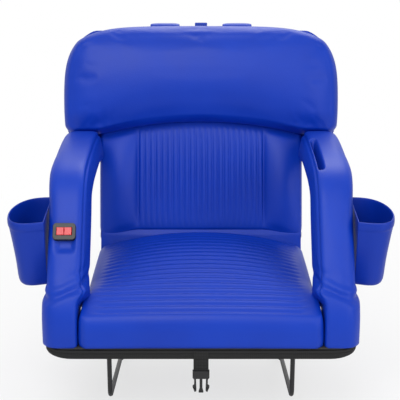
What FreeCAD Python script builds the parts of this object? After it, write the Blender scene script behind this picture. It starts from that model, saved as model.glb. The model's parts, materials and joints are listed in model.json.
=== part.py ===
import FreeCAD, Part

# Padded stadium seat with a ratchet reclining back, soft arms, cup pockets and bench hooks.
# Millimetres. X to the right as seen from the front, Y to the back, Z up.
# The origin is the middle of the flat underside that rests on the bench.

import os
import re
import Sketcher
from math import acos, atan, cos, pi, radians, sin, sqrt, tan
from types import SimpleNamespace
from FreeCAD import Placement, Rotation, Vector

doc = FreeCAD.newDocument("StadiumSeat")
sheet = doc.addObject("Spreadsheet::Sheet", "Dims")

SIZES = [
    # Seat, base and board
    ("panel_width", 406, "width of the seat cushion and of the lower back"),
    ("seat_front", 206, "front edge ahead of the origin"),
    ("seat_rear", 172, "rear edge of the cushion behind the origin"),
    ("base_height", 22, "height of the black underside"),
    ("base_wall", 2, "thickness of the black underside"),
    ("base_margin", 7, "underside behind the cushion"),
    ("base_corner", 16, "upright corner radius of the underside"),
    ("front_corner", 40, "front corner radius of the underside"),
    ("base_edge", 5, "lower edge radius of the underside"),
    ("board_thick", 3.5, "seat board"),
    ("gap", 0.3, "clearance between neighbouring pieces"),
    # Cushion of the seat
    ("crown", 108, "highest point of the seat cushion"),
    ("crown_back", 56, "distance of the highest point behind the origin"),
    ("front_top", 80, "cushion height at the first channel"),
    ("rear_top", 95, "cushion height at its rear edge"),
    ("side_top", 66, "cushion height along its sides"),
    ("nose_top", 58, "cushion height at its front edge"),
    ("waist", 3, "how far the sides are drawn in"),
    ("channel_pitch", 18, "spacing of the sewn seat channels"),
    ("channel_count", 18, "sewn seat channels"),
    ("channel_depth", 2.5, "depth of a sewn channel"),
    ("first_channel", 20, "first channel behind the front edge"),
    ("cover_thick", 1.5, "cover of seat, back and arms"),
    # Heating mats
    ("mat_width", 290, "seat heating mat across"),
    ("mat_depth", 270, "seat heating mat front to back"),
    ("mat_thick", 1.6, "heating mats"),
    ("mat_level", 44, "seat heating mat above the bench"),
    ("mat_slit", 5, "slit in the foam for a mat"),
    ("wire_dia", 2.4, "heating wire"),
    ("back_mat_width", 230, "back heating mat across"),
    ("back_mat_height", 130, "back heating mat upwards"),
    # Steel frame
    ("tube_dia", 16, "frame tube"),
    ("tube_wall", 1.2, "frame tube wall"),
    ("tube_bend", 44, "bend radius of the frame tubes"),
    ("tube_inset", 13, "rail centre inside the cushion side"),
    ("front_inset", 18, "front rail centre behind the front edge"),
    ("cross_tube_y", 122, "rear cross tube behind the origin"),
    # Recliner
    ("hinge_behind", 34, "hinge pin behind the cushion"),
    ("hinge_z", 78, "hinge pin above the bench"),
    ("lean", 17, "lean of the back in degrees"),
    ("hub_radius", 17, "hinge bracket radius"),
    ("cheek", 2.5, "hinge bracket plate"),
    ("bracket_foot", 1, "hinge bracket above the bench"),
    ("web_top", 46, "top of the bracket's rear web"),
    ("pin_dia", 8, "hinge pin"),
    ("pin_head", 13, "hinge pin head"),
    ("head_thick", 2.2, "heads of pins and rivets"),
    ("running", 0.05, "radial running clearance"),
    ("disc_radius", 14.5, "ratchet disc"),
    ("tooth_depth", 1.6, "ratchet tooth"),
    ("tooth_width", 1.5, "ratchet notch"),
    ("tooth_count", 9, "ratchet notches"),
    ("tooth_span", 60, "angle of the toothed part"),
    ("neck_top", 29, "ratchet arm up to the tube"),
    ("plug_length", 40, "ratchet arm inside the tube"),
    ("pawl_y", 6, "pawl pin behind the hinge pin"),
    ("pawl_drop", 36, "pawl pin below the hinge pin"),
    ("pawl_pin_dia", 5, "pawl pin"),
    ("pawl_width", 10, "pawl along its pin"),
    ("pawl_gap", 0.4, "pawl nose below the tooth tips"),
    ("pawl_hub", 5.5, "pawl hub radius"),
    ("rivet_dia", 5, "rail rivets"),
    ("rivet_head", 9, "rail rivet head"),
    ("rivet_pitch", 14, "spacing of the rail rivets"),
    ("rivet_ahead", 3, "middle of the rail rivets ahead of the hinge pin"),
    # Back, along its own slope from the hinge pin
    ("pad_bottom", 21, "lower edge of the back pad"),
    ("pad_edge", 12, "back pad thickness at its edges"),
    ("rib_top", 23, "back pad thickness at a rib"),
    ("rib_depth", 2.5, "depth of a back channel"),
    ("rib_count", 22, "ribs of the back"),
    ("rib_panel", 250, "width of the ribbed panel"),
    ("side_pad", 32, "thickness of the plain side panels"),
    ("bolster_low", 202, "lower edge of the bolster at its wings"),
    ("bolster_arch", 26, "rise of that edge at the middle"),
    ("bolster_top", 418, "upper edge of the bolster"),
    ("bolster_thick", 66, "bolster in front of the board"),
    ("bolster_corner", 88, "upper corner radius of the bolster"),
    ("bolster_over", 13, "bolster beyond the arms"),
    ("seam_gap", 4, "bolster above the back pad"),
    ("tray_bottom", 33, "lower edge of the rear cover"),
    ("tray_depth", 22, "depth of the rear cover"),
    ("tray_margin", 5, "rear cover inside the bolster outline"),
    ("back_board_thick", 3, "back board"),
    ("back_tube_top", 356, "upper run of the back tube"),
    # Arms
    ("arm_width", 59, "arm beside the cushion"),
    ("arm_lap", 14, "arm over the cushion at the elbow"),
    ("arm_thick", 60, "arm"),
    ("foot_thick", 74, "arm where it stands on the base"),
    ("arm_crown", 4, "rounding of the arm faces"),
    ("arm_corner", 17, "corner radius of the arm"),
    ("knee_z", 62, "arm bends back at this height"),
    ("elbow_y", 42, "elbow ahead of the origin"),
    ("elbow_z", 254, "elbow above the bench"),
    ("arm_rise", 14, "arm higher at the back than at the elbow"),
    ("arm_bend", 72, "bend radius of the elbow"),
    ("phone_length", 150, "phone slot along the arm"),
    ("phone_width", 12, "phone slot across"),
    ("phone_depth", 38, "phone slot downwards"),
    ("sleeve_thick", 1, "phone sleeve"),
    # Cup pockets
    ("pocket_y", 80, "pocket middle ahead of the origin"),
    ("pocket_bottom", 94, "underside of the pocket"),
    ("pocket_rim", 217, "rim of the pocket"),
    ("pocket_half", 70, "half of the pocket mouth along the arm"),
    ("pocket_bulge", 65, "pocket mouth out from the arm"),
    ("pocket_taper", 0.84, "pocket floor against its mouth"),
    ("pocket_wall", 2, "pocket cloth"),
    ("pocket_tab", 18, "sewn tab of the pocket along the arm"),
    # Heat control
    ("control_z", 177, "control above the bench"),
    ("control_side", 26.5, "control inside the cushion side, outwards"),
    ("control_width", 38.5, "control across"),
    ("control_height", 29, "control along the arm"),
    ("control_proud", 3, "control above the arm face"),
    ("control_deep", 10, "control inside the arm"),
    ("control_corner", 6, "control corner radius"),
    ("window_width", 26, "button window across"),
    ("window_height", 14, "button window along the arm"),
    ("control_floor", 2.5, "control floor"),
    ("button_proud", 1.4, "buttons above the control"),
    ("button_thick", 5.6, "buttons"),
    ("button_edge", 0.8, "rounded button edge"),
    ("pcb_thick", 1.6, "circuit board"),
    ("switch_size", 6, "push switch"),
    ("switch_tall", 2.6, "push switch"),
    # Bench hooks
    ("hook_x", 155, "hook beside the middle"),
    ("hook_rod", 8, "hook rod"),
    ("hook_front", 172, "hook leg ahead of the origin"),
    ("hook_drop", 84, "lower leg below the bench face at the front"),
    ("hook_slope", 9, "slope of the lower leg in degrees"),
    ("hook_reach", 246, "lower leg to the back"),
    ("hook_axle", 150, "part of the rod held by the brackets"),
    ("hook_bend", 16, "hook bend radius"),
    ("tip_dia", 13, "rubber tip"),
    ("tip_length", 28, "rubber tip"),
    ("saddle_width", 44, "hook bracket across"),
    ("saddle_depth", 16, "hook bracket along the rod"),
    ("saddle_plate", 3, "hook bracket flange"),
    ("saddle_near", 52, "rear hook bracket from the rod's rear end"),
    ("saddle_far", 110, "front hook bracket from the rod's rear end"),
    ("screw_dia", 4, "bracket screws"),
    ("screw_head", 7.5, "bracket screw head"),
    ("bay_inner", 12, "hook bay from the middle"),
    ("bay_margin", 12, "hook bay around the hook"),
    # Straps and buckle
    ("web_width", 25, "webbing"),
    ("web_thick", 1.6, "webbing"),
    ("strap_drop", 24, "front strap below the bench face"),
    ("plug_width", 28, "buckle plug"),
    ("plug_thick", 7, "buckle plug"),
    ("plug_bar", 12, "buckle plug bar"),
    ("prong_length", 26, "buckle prongs"),
    ("socket_width", 30, "buckle socket"),
    ("socket_thick", 12, "buckle socket"),
    ("socket_length", 42, "buckle socket"),
    ("strap_x", 74, "shoulder strap beside the middle"),
    ("strap_width", 60, "shoulder strap"),
    ("strap_thick", 9, "shoulder strap"),
    ("strap_off", 16, "gap between shoulder strap and back"),
    ("strap_top", 435, "top of the shoulder strap"),
    ("strap_foot", 64, "foot of the shoulder strap"),
    ("strap_bend", 13, "bend radius of the straps"),
]

for row, (name, value, meaning) in enumerate(SIZES, 1):
    sheet.set(f"A{row}", meaning)
    sheet.set(f"B{row}", str(value))
    sheet.setAlias(f"B{row}", name)
doc.recompute()

size = SimpleNamespace(**{name: float(sheet.get(name)) for name, _, _ in SIZES})
ALIASES = re.compile(r"\b(" + "|".join(name for name, _, _ in SIZES) + r")\b")
pieces = []


def bound(text):
    """An expression over the sheet, from the same text with bare size names."""
    return ALIASES.sub(r"Dims.\1", text)


def keep(made, label):
    """Names a finished sub-part and puts it on the list of files."""
    made.Label = label
    pieces.append(made)
    return made


def box(name, length, width, height, at):
    """A block whose sizes and corner follow the sheet."""
    made = doc.addObject("Part::Box", name)
    for field, text in zip(("Length", "Width", "Height"), (length, width, height)):
        made.setExpression(field, bound(text))
    for axis, text in zip("xyz", at):
        made.setExpression(f"Placement.Base.{axis}", bound(text))
    return made


def cylinder(name, radius, height, at, turn=(0, 0, 1, 0)):
    """A round bar from a point along Z, or along the axis that the turn gives."""
    made = doc.addObject("Part::Cylinder", name)
    made.Placement = Placement(Vector(), Rotation(Vector(*turn[:3]), turn[3]))
    made.setExpression("Radius", bound(radius))
    made.setExpression("Height", bound(height))
    for axis, text in zip("xyz", at):
        made.setExpression(f"Placement.Base.{axis}", bound(text))
    return made


ALONG_X = (0, 1, 0, 90)
ALONG_Y = (1, 0, 0, -90)


def minus(name, base, tool):
    """One solid less another."""
    made = doc.addObject("Part::Cut", name)
    made.Base = base
    made.Tool = tool
    return made


def joined(name, parts):
    """Several solids welded into one."""
    made = doc.addObject("Part::MultiFuse", name)
    made.Shapes = parts
    made.Refine = True
    return made


def group(name, parts):
    """Several separate solids in one sub-part."""
    made = doc.addObject("Part::Compound", name)
    made.Links = parts
    return made


def mirrored(name, source):
    """The same piece for the other side."""
    made = doc.addObject("Part::Mirroring", name)
    made.Source = source
    made.Normal = (1, 0, 0)
    made.Base = (0, 0, 0)
    return made


def new_body(name):
    return doc.addObject("PartDesign::Body", name)


def sketch(owner, role, lift="0"):
    """A sketch on one of the body's own planes, lifted along the plane's normal."""
    made = owner.newObject("Sketcher::SketchObject", owner.Name + "Sketch")
    plane = [item for item in owner.Origin.OriginFeatures if item.Role == role][0]
    made.AttachmentSupport = (plane, [""])
    made.MapMode = "FlatFace"
    made.setExpression("AttachmentOffset.Base.z", bound(lift))
    return made


def outline(on, points):
    """A closed outline of straight sides through points given as sheet expressions."""
    first = on.GeometryCount
    count = len(points)
    for index in range(count):
        here, after = 2 * pi * index / count, 2 * pi * (index + 1) / count
        start = Vector(9 * cos(here), 9 * sin(here), 0)
        end = Vector(9 * cos(after), 9 * sin(after), 0)
        on.addGeometry(Part.LineSegment(start, end))
    for index in range(count):
        after = first + (index + 1) % count
        on.addConstraint(Sketcher.Constraint("Coincident", first + index, 2, after, 1))
    for index, point in enumerate(points):
        for kind, text in zip(("DistanceX", "DistanceY"), point):
            number = on.addConstraint(Sketcher.Constraint(kind, first + index, 1, 1.0 + index))
            on.setExpression(f"Constraints[{number}]", bound(text))
    return on


def ring(on, across, up, radius):
    """A circle at a point given as sheet expressions."""
    number = on.addGeometry(Part.Circle(Vector(3, 4, 0), Vector(0, 0, 1), 2))
    for kind, text in (("DistanceX", across), ("DistanceY", up)):
        made = on.addConstraint(Sketcher.Constraint(kind, number, 3, 3.0))
        on.setExpression(f"Constraints[{made}]", bound(text))
    made = on.addConstraint(Sketcher.Constraint("Radius", number, 2.0))
    on.setExpression(f"Constraints[{made}]", bound(radius))
    return on


def pad(owner, on, length, reverse=False):
    made = owner.newObject("PartDesign::Pad", owner.Name + "Pad")
    made.Profile = on
    made.setExpression("Length", bound(length))
    made.Reversed = reverse
    return made


def pocket(owner, on):
    """A pocket through everything, both ways from its sketch."""
    made = owner.newObject("PartDesign::Pocket", owner.Name + "Pocket")
    made.Profile = on
    made.Type = 1
    made.Midplane = True
    return made


def blind(owner, on, length, reverse=False):
    """A pocket of a given depth."""
    made = owner.newObject("PartDesign::Pocket", owner.Name + "Pocket")
    made.Profile = on
    made.setExpression("Length", bound(length))
    made.Reversed = reverse
    return made


def rounded(owner, radius, wanted):
    """Rounds those edges of a body that the test picks out."""
    doc.recompute()
    tip = owner.Tip
    names = [f"Edge{n}" for n, edge in enumerate(tip.Shape.Edges, 1) if wanted(edge)]
    made = owner.newObject("PartDesign::Fillet", owner.Name + "Fillet")
    made.Base = (tip, names)
    made.setExpression("Radius", bound(radius))
    return made


def runs_along(edge, axis):
    """True for a straight edge along an axis."""
    if len(edge.Vertexes) != 2:
        return False
    way = edge.Vertexes[1].Point - edge.Vertexes[0].Point
    return way.Length > 0.01 and abs(way.normalize().dot(axis)) > 0.999


def lies_at(edge, axis, level):
    """True for an edge whose ends are all at one level along an axis."""
    return all(abs(v.Point.dot(axis) - level) < 0.01 for v in edge.Vertexes)


X_AXIS, Y_AXIS, Z_AXIS = Vector(1, 0, 0), Vector(0, 1, 0), Vector(0, 0, 1)


def formed(name, shape):
    """A piece whose surface is lofted or swept from the sizes of the sheet."""
    made = doc.addObject("Part::Feature", name)
    made.Shape = shape
    return made


def on_back(made):
    """Puts a piece drawn on the upright back onto the leaning back, at the hinge pin."""
    made.Placement = Placement(Vector(), Rotation(-X_AXIS, size.lean))
    made.setExpression("Placement.Base.y", bound("seat_rear + hinge_behind"))
    made.setExpression("Placement.Base.z", bound("hinge_z"))
    made.setExpression("Placement.Rotation.Angle", bound("lean"))
    return made


def spine(points, bend):
    """Straight runs through the points, joined by bends of one radius."""
    edges = []
    start = points[0]
    for before, corner, after in zip(points, points[1:], points[2:]):
        into = (corner - before).normalize()
        out = (after - corner).normalize()
        half = acos(max(-1.0, min(1.0, into.dot(out)))) / 2
        leave = corner - into * (bend * tan(half))
        arrive = corner + out * (bend * tan(half))
        middle = corner + (out - into).normalize() * (bend / cos(half) - bend)
        edges.append(Part.LineSegment(start, leave).toShape())
        edges.append(Part.Arc(leave, middle, arrive).toShape())
        start = arrive
    edges.append(Part.LineSegment(start, points[-1]).toShape())
    return Part.Wire(edges)


def rod(points, bend, radius):
    """A bent round bar."""
    path = spine(points, bend)
    circle = Part.Circle(points[0], points[1] - points[0], radius)
    return path.makePipeShell([Part.Wire(circle.toShape())], True, False)


def tube(points, bend, outside, wall):
    """A bent tube, open at both ends."""
    first = (points[0] - points[1]).normalize()
    last = (points[-1] - points[-2]).normalize()
    longer = [points[0] + first, *points[1:-1], points[-1] + last]
    return rod(points, bend, outside).cut(rod(longer, bend, outside - wall))


def band(points, bend, width, thick):
    """A flat strap in a plane across X, bent along the points."""
    path = spine(points, bend)
    way = (points[1] - points[0]).normalize()
    across = X_AXIS * (width / 2)
    normal = way.cross(X_AXIS) * (thick / 2)
    ends = [points[0] + a + n for a, n in
            ((across, normal), (across, -normal), (-across, -normal), (-across, normal))]
    profile = Part.makePolygon([*ends, ends[0]])
    return path.makePipeShell([profile], True, False)


half = size.panel_width / 2
arm_out = half + size.arm_width
bolster_half = arm_out + size.bolster_over
hinge_y = size.seat_rear + size.hinge_behind
tube_z = size.base_wall + size.gap + size.tube_dia / 2
rail_x = half - size.tube_inset

# The black underside: a tray with wings under the arms, open where the hooks swing out
T_OUTER = [
    ("-panel_width / 2 - arm_width", "-seat_front"),
    ("panel_width / 2 + arm_width", "-seat_front"),
    ("panel_width / 2 + arm_width", "foot_thick + 2 - seat_front"),
    ("panel_width / 2", "foot_thick + 2 - seat_front"),
    ("panel_width / 2", "seat_rear + base_margin"),
    ("-panel_width / 2", "seat_rear + base_margin"),
    ("-panel_width / 2", "foot_thick + 2 - seat_front"),
    ("-panel_width / 2 - arm_width", "foot_thick + 2 - seat_front"),
]


def inset_tray(points, by):
    """The same outline drawn in all round by one amount."""
    signs = [(1, 1), (-1, 1), (-1, -1), (-1, -1), (-1, -1), (1, -1), (1, -1), (1, -1)]
    made = []
    for (across, along), (sx, sy) in zip(points, signs):
        made.append((f"{across} + ({sx}) * ({by})", f"{along} + ({sy}) * ({by})"))
    return made


def at_front(edge):
    """An upright edge at one of the two front corners."""
    return runs_along(edge, Z_AXIS) and edge.Vertexes[0].Point.y < -size.seat_front + size.foot_thick / 2


def at_sides(edge):
    """A sharp upright edge behind the front corners."""
    return runs_along(edge, Z_AXIS) and edge.Vertexes[0].Point.y > -size.seat_front + size.foot_thick / 2


tray_outer = new_body("TrayOuter")
pad(tray_outer, outline(sketch(tray_outer, "XY_Plane"), T_OUTER), "base_height")
rounded(tray_outer, "front_corner", at_front)
rounded(tray_outer, "base_corner", at_sides)
rounded(tray_outer, "base_edge", lambda edge: lies_at(edge, Z_AXIS, 0))
tray_inner = new_body("TrayInner")
inner_sketch = sketch(tray_inner, "XY_Plane", "base_wall")
pad(tray_inner, outline(inner_sketch, inset_tray(T_OUTER, "base_wall")), "base_height")
rounded(tray_inner, "front_corner - base_wall", at_front)
rounded(tray_inner, "base_corner - base_wall", at_sides)
rounded(tray_inner, "base_edge - base_wall", lambda edge: lies_at(edge, Z_AXIS, size.base_wall))
tray = minus("Tray", tray_outer, tray_inner)
openings = []
for side, start in (("Right", "bay_inner"), ("Left", "-hook_x - bay_margin")):
    openings.append(box(
        f"Bay{side}", "hook_x + bay_margin - bay_inner", "hook_reach + 2 * bay_margin", "base_wall + 4",
        (start, "-hook_front - bay_margin", "-2")))
for side, sign in (("Right", ""), ("Left", "-")):
    openings.append(cylinder(
        f"RailHole{side}", "tube_dia / 2 + gap", "4 * base_wall",
        (f"{sign}(panel_width / 2 - tube_inset)", "seat_rear + base_margin - 3 * base_wall",
         "base_wall + gap + tube_dia / 2"), ALONG_Y))
keep(minus("BaseCover", tray, group("TrayOpenings", openings)), "base_cover")

# Steel frame of the seat: a tube round the front and both sides, and a cross tube
rail_end = hinge_y + size.hub_radius - size.cheek - 2 * size.head_thick
front_rail = -(size.seat_front - size.front_inset)
frame_path = [
    Vector(rail_x, rail_end, tube_z), Vector(rail_x, front_rail, tube_z),
    Vector(-rail_x, front_rail, tube_z), Vector(-rail_x, rail_end, tube_z),
]
frame_tube = tube(frame_path, size.tube_bend, size.tube_dia / 2, size.tube_wall)
rivet_mid = hinge_y - size.rivet_ahead
rivet_ys = [rivet_mid - size.rivet_pitch / 2, rivet_mid + size.rivet_pitch / 2]
for rivet_y in rivet_ys:
    for sign in (1, -1):
        start = Vector(sign * rail_x - size.tube_dia, rivet_y, tube_z)
        hole = Part.makeCylinder(size.rivet_dia / 2 + size.running, 2 * size.tube_dia, start, X_AXIS)
        frame_tube = frame_tube.cut(hole)
keep(formed("SeatFrame", frame_tube), "seat_frame")

cross_at = ("-(panel_width / 2 - tube_inset - tube_dia / 2)", "cross_tube_y",
            "base_wall + gap + tube_dia / 2")
cross_long = "panel_width - 2 * tube_inset - tube_dia"
cross_outer = cylinder("CrossOuter", "tube_dia / 2", cross_long, cross_at, ALONG_X)
cross_inner = cylinder("CrossInner", "tube_dia / 2 - tube_wall", cross_long, cross_at, ALONG_X)
keep(minus("CrossTube", cross_outer, cross_inner), "rear_cross_tube")

caps = []
for side, sign in (("Right", ""), ("Left", "-")):
    end = "seat_rear + hinge_behind + hub_radius - cheek - 2 * head_thick"
    middle = (f"{sign}(panel_width / 2 - tube_inset)", "base_wall + gap + tube_dia / 2")
    flange = cylinder(f"CapFlange{side}", "tube_dia / 2", "head_thick", (middle[0], end, middle[1]), ALONG_Y)
    stem = cylinder(f"CapStem{side}", "tube_dia / 2 - tube_wall - running", "head_thick + 1",
                    (middle[0], f"{end} - 1", middle[1]), ALONG_Y)
    caps.append(joined(f"Cap{side}", [flange, stem]))
keep(group("EndCaps", caps), "frame_end_caps")

board = new_body("SeatBoard")
board_lift = "base_wall + gap + tube_dia"
board_sketch = sketch(board, "XY_Plane", board_lift)
pad(board, outline(board_sketch, inset_tray(T_OUTER, "base_wall + gap")), "board_thick")
rounded(board, "front_corner - base_wall - gap", at_front)
rounded(board, "base_corner - base_wall - gap", at_sides)
keep(board, "seat_board")
board_top = size.base_wall + size.gap + size.tube_dia + size.board_thick

# Seat cushion: a crowned pad with drawn-in sides and sewn cross channels


def seat_height(y):
    """Height of the cushion along its middle: a front slope, a crown and a rear roll."""
    front = -size.seat_front + size.first_channel
    if y < size.crown_back:
        drop = (size.crown_back - y) / (size.crown_back - front)
        return size.crown - (size.crown - size.front_top) * drop ** 2
    drop = (y - size.crown_back) / (size.seat_rear - size.crown_back)
    return size.crown - (size.crown - size.rear_top) * drop ** 3


def seat_section(y, wide, edge, top, floor):
    """One cross section: flat floor, sides that lean in a little, arched top."""
    a, b = Vector(-wide, y, floor), Vector(wide, y, floor)
    c, d = Vector(wide, y, edge), Vector(-wide, y, edge)
    sides = [Part.LineSegment(a, b), Part.LineSegment(b, c), Part.LineSegment(d, a)]
    arch = Part.Arc(c, Vector(0, y, top), d)
    return Part.Wire([sides[0].toShape(), sides[1].toShape(), arch.toShape(), sides[2].toShape()])


def seat_solid(inset, floor):
    """The cushion, drawn in all round by an inset, standing on a floor level."""
    front, rear = -size.seat_front + inset, size.seat_rear - inset
    nose = [(0.0, 0.972, 0.84), (0.18, 0.984, 0.93), (0.45, 0.993, 1.02)]
    rows = []
    for share, wide, tall in nose:
        y = front + share * size.first_channel
        rows.append((y, half * wide, size.side_top * tall - 8 * (1 - share), size.nose_top + 34 * share))
    first = -size.seat_front + size.first_channel
    count = int(size.channel_count)
    for index in range(2 * count + 1):
        y = first + index * size.channel_pitch / 2
        sunk = size.channel_depth if index % 2 == 0 else 0
        pull = size.waist * sin(pi * (y + size.seat_front) / (size.seat_front + size.seat_rear))
        edge = size.side_top + 8 * sin(pi * index / (2 * count))
        rows.append((y, half - pull, edge, seat_height(y) - sunk))
    last = rows[-1][0]
    for share in (0.55, 1.0):
        y = last + share * (rear - last)
        rows.append((y, half * (1 - 0.004 * share), size.side_top - 3 * share, seat_height(y) - 4 * share))
    wires = [seat_section(y, wide - inset, edge - inset, top - inset, floor) for y, wide, edge, top in rows]
    return Part.makeLoft(wires, True, True)


cover_in = size.cover_thick
cushion = seat_solid(0, size.base_height)
hollow = seat_solid(cover_in, size.base_height - 1)
keep(formed("SeatCover", cushion.cut(hollow)), "seat_cover")
foam_inset = cover_in + size.gap
seat_foam = seat_solid(foam_inset, board_top + size.gap)
slit = Part.makeBox(
    size.mat_width + 4, size.mat_depth / 2 + 2 + size.seat_rear, size.mat_slit,
    Vector(-size.mat_width / 2 - 2, -size.mat_depth / 2 - 2, size.mat_level - 0.5))
keep(formed("SeatFoam", seat_foam.cut(slit)), "seat_foam")
keep(box("SeatMat", "mat_width", "mat_depth", "mat_thick",
         ("-mat_width / 2", "-mat_depth / 2", "mat_level")), "seat_heating_mat")


def serpentine(runs, pitch, reach, place):
    """Heating wire in parallel runs joined by turns, placed by a function of along and across."""
    points = []
    for run in range(runs):
        along = (run - (runs - 1) / 2) * pitch
        ends = (-reach, reach) if run % 2 == 0 else (reach, -reach)
        points += [place(along, end) for end in ends]
    return rod(points, pitch * 0.49, size.wire_dia / 2)


wire_z = size.mat_level + size.mat_thick + size.wire_dia / 2
seat_runs = int((size.mat_depth - 20) / size.channel_pitch)
seat_wire = serpentine(seat_runs, size.channel_pitch, size.mat_width / 2 - 12,
                       lambda along, across: Vector(across, along, wire_z))
keep(formed("SeatWire", seat_wire), "seat_heating_wire")

# Recliner: bracket on the rail, pin, ratchet arm in the back tube, pawl and its spring
PLATES = "tube_dia + 2 * cheek"
PLATES_AT = "panel_width / 2 - tube_inset - tube_dia / 2 - cheek"
PIN_AT = ("seat_rear + hinge_behind", "hinge_z")
PAWL_AT = ("seat_rear + hinge_behind + pawl_y", "hinge_z - pawl_drop")
RAIL_AT = "base_wall + gap + tube_dia / 2"
bracket = new_body("HingeBracket")
low, high = "seat_rear + hinge_behind - hub_radius", "seat_rear + hinge_behind + hub_radius"
plate = outline(sketch(bracket, "YZ_Plane", PLATES_AT),
                [(low, "bracket_foot"), (high, "bracket_foot"), (high, "hinge_z"), (low, "hinge_z")])
pad(bracket, plate, PLATES)
pad(bracket, ring(sketch(bracket, "YZ_Plane", PLATES_AT), *PIN_AT, "hub_radius"), PLATES)
inner_side = "panel_width / 2 - tube_inset - tube_dia / 2"
outer_side = "panel_width / 2 - tube_inset + tube_dia / 2"
slot = [(inner_side, f"{low} - 5"), (outer_side, f"{low} - 5"),
        (outer_side, f"{high} - cheek"), (inner_side, f"{high} - cheek")]
pocket(bracket, outline(sketch(bracket, "XY_Plane"), slot))
window = [(inner_side, "web_top"), (outer_side, "web_top"),
          (outer_side, "hinge_z + 2 * hub_radius"), (inner_side, "hinge_z + 2 * hub_radius")]
pocket(bracket, outline(sketch(bracket, "XZ_Plane"), window))
holes = sketch(bracket, "YZ_Plane", PLATES_AT)
ring(holes, *PIN_AT, "pin_dia / 2 + running")
ring(holes, *PAWL_AT, "pawl_pin_dia / 2 + running")
for sign in ("-", "+"):
    ring(holes, f"{PIN_AT[0]} - rivet_ahead {sign} rivet_pitch / 2", RAIL_AT, "rivet_dia / 2 + running")
pocket(bracket, holes)
keep(bracket, "right_hinge_bracket")
keep(mirrored("LeftBracket", bracket), "left_hinge_bracket")


def headed_pin(name, radius, head, at):
    """A pin along X through both bracket plates, with a head at each end."""
    across, along, up = at
    shaft = cylinder(f"{name}Shaft", radius, f"{PLATES} + 2 * head_thick",
                     (f"{across} - head_thick", along, up), ALONG_X)
    inside = cylinder(f"{name}Inside", head, "head_thick - running",
                      (f"{across} - head_thick", along, up), ALONG_X)
    outside = cylinder(f"{name}Outside", head, "head_thick - running",
                       (f"{across} + {PLATES} + running", along, up), ALONG_X)
    return joined(name, [shaft, inside, outside])


hinge_pin = headed_pin("HingePin", "pin_dia / 2", "pin_head / 2", (PLATES_AT, *PIN_AT))
keep(hinge_pin, "right_hinge_pin")
keep(mirrored("LeftHingePin", hinge_pin), "left_hinge_pin")
pawl_pin = headed_pin("PawlPin", "pawl_pin_dia / 2", "pawl_pin_dia / 2 + 1.5", (PLATES_AT, *PAWL_AT))
keep(group("PawlPins", [pawl_pin, mirrored("LeftPawlPin", pawl_pin)]), "pawl_pins")
rivets = []
for sign in ("-", "+"):
    side = "Front" if sign == "-" else "Rear"
    rivet = headed_pin(f"Rivet{side}", "rivet_dia / 2", "rivet_head / 2",
                       (PLATES_AT, f"{PIN_AT[0]} - rivet_ahead {sign} rivet_pitch / 2", RAIL_AT))
    rivets += [rivet, mirrored(f"LeftRivet{side}", rivet)]
keep(group("RailRivets", rivets), "rail_rivets")

ratchet = new_body("RatchetArm")
disc_at = "panel_width / 2 - tube_inset - tube_dia / 2 + gap"
disc_wide = "tube_dia - 2 * gap"
pad(ratchet, ring(sketch(ratchet, "YZ_Plane", disc_at), "0", "0", "disc_radius"), disc_wide)
neck = [("back_board_thick", "0"), ("disc_radius", "0"),
        ("back_board_thick + tube_dia", "neck_top"), ("back_board_thick", "neck_top")]
pad(ratchet, outline(sketch(ratchet, "YZ_Plane", disc_at), neck), disc_wide)
stem = ring(sketch(ratchet, "XY_Plane", "neck_top - 4"), "panel_width / 2 - tube_inset",
            "back_board_thick + tube_dia / 2", "tube_dia / 2 - tube_wall - running")
pad(ratchet, stem, "plug_length + 4")
pocket(ratchet, ring(sketch(ratchet, "YZ_Plane", disc_at), "0", "0", "pin_dia / 2 + running"))
notch = outline(sketch(ratchet, "YZ_Plane", disc_at),
                [("0", "tooth_depth - disc_radius"), ("0", "-disc_radius - 1"),
                 ("tooth_width", "-disc_radius - 1"), ("tooth_width", "-disc_radius + 0.1")])
notch_cut = pocket(ratchet, notch)
doc.recompute()
teeth = ratchet.newObject("PartDesign::PolarPattern", "Teeth")
teeth.Originals = [notch_cut]
teeth.Axis = (notch, ["N_Axis"])
ratchet.Tip = teeth
teeth.setExpression("Angle", bound("tooth_span"))
teeth.setExpression("Occurrences", bound("tooth_count"))
on_back(ratchet)
keep(ratchet, "right_ratchet_arm")
keep(mirrored("LeftRatchetArm", ratchet), "left_ratchet_arm")

pawl = new_body("Pawl")
pawl_lift = "panel_width / 2 - tube_inset - pawl_width / 2"
nose_z = "hinge_z - disc_radius - pawl_gap"
finger = [(f"{PAWL_AT[0]} - 5", PAWL_AT[1]), (f"{PAWL_AT[0]} + 4", PAWL_AT[1]),
          (f"{PIN_AT[0]} + 2.5", nose_z), (f"{PIN_AT[0]} - 0.5", nose_z)]
pad(pawl, outline(sketch(pawl, "YZ_Plane", pawl_lift), finger), "pawl_width")
pad(pawl, ring(sketch(pawl, "YZ_Plane", pawl_lift), *PAWL_AT, "pawl_hub"), "pawl_width")
pocket(pawl, ring(sketch(pawl, "YZ_Plane", pawl_lift), *PAWL_AT, "pawl_pin_dia / 2 + running"))
keep(pawl, "right_pawl")
keep(mirrored("LeftPawl", pawl), "left_pawl")

spring = new_body("PawlSpring")
web_face = f"{high} - cheek"
leaf = [(web_face, f"{PAWL_AT[1]} - 26"), (web_face, f"{PAWL_AT[1]} - 14"),
        (f"{PAWL_AT[0]} + pawl_hub + 1", f"{PAWL_AT[1]} - 2"),
        (f"{PAWL_AT[0]} + pawl_hub + gap", f"{PAWL_AT[1]} - 2"),
        (f"{web_face} - 0.8", f"{PAWL_AT[1]} - 15"), (f"{web_face} - 0.8", f"{PAWL_AT[1]} - 26")]
pad(spring, outline(sketch(spring, "YZ_Plane", "panel_width / 2 - tube_inset - 3"), leaf), "6")
keep(group("PawlSprings", [spring, mirrored("LeftPawlSpring", spring)]), "pawl_springs")

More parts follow.
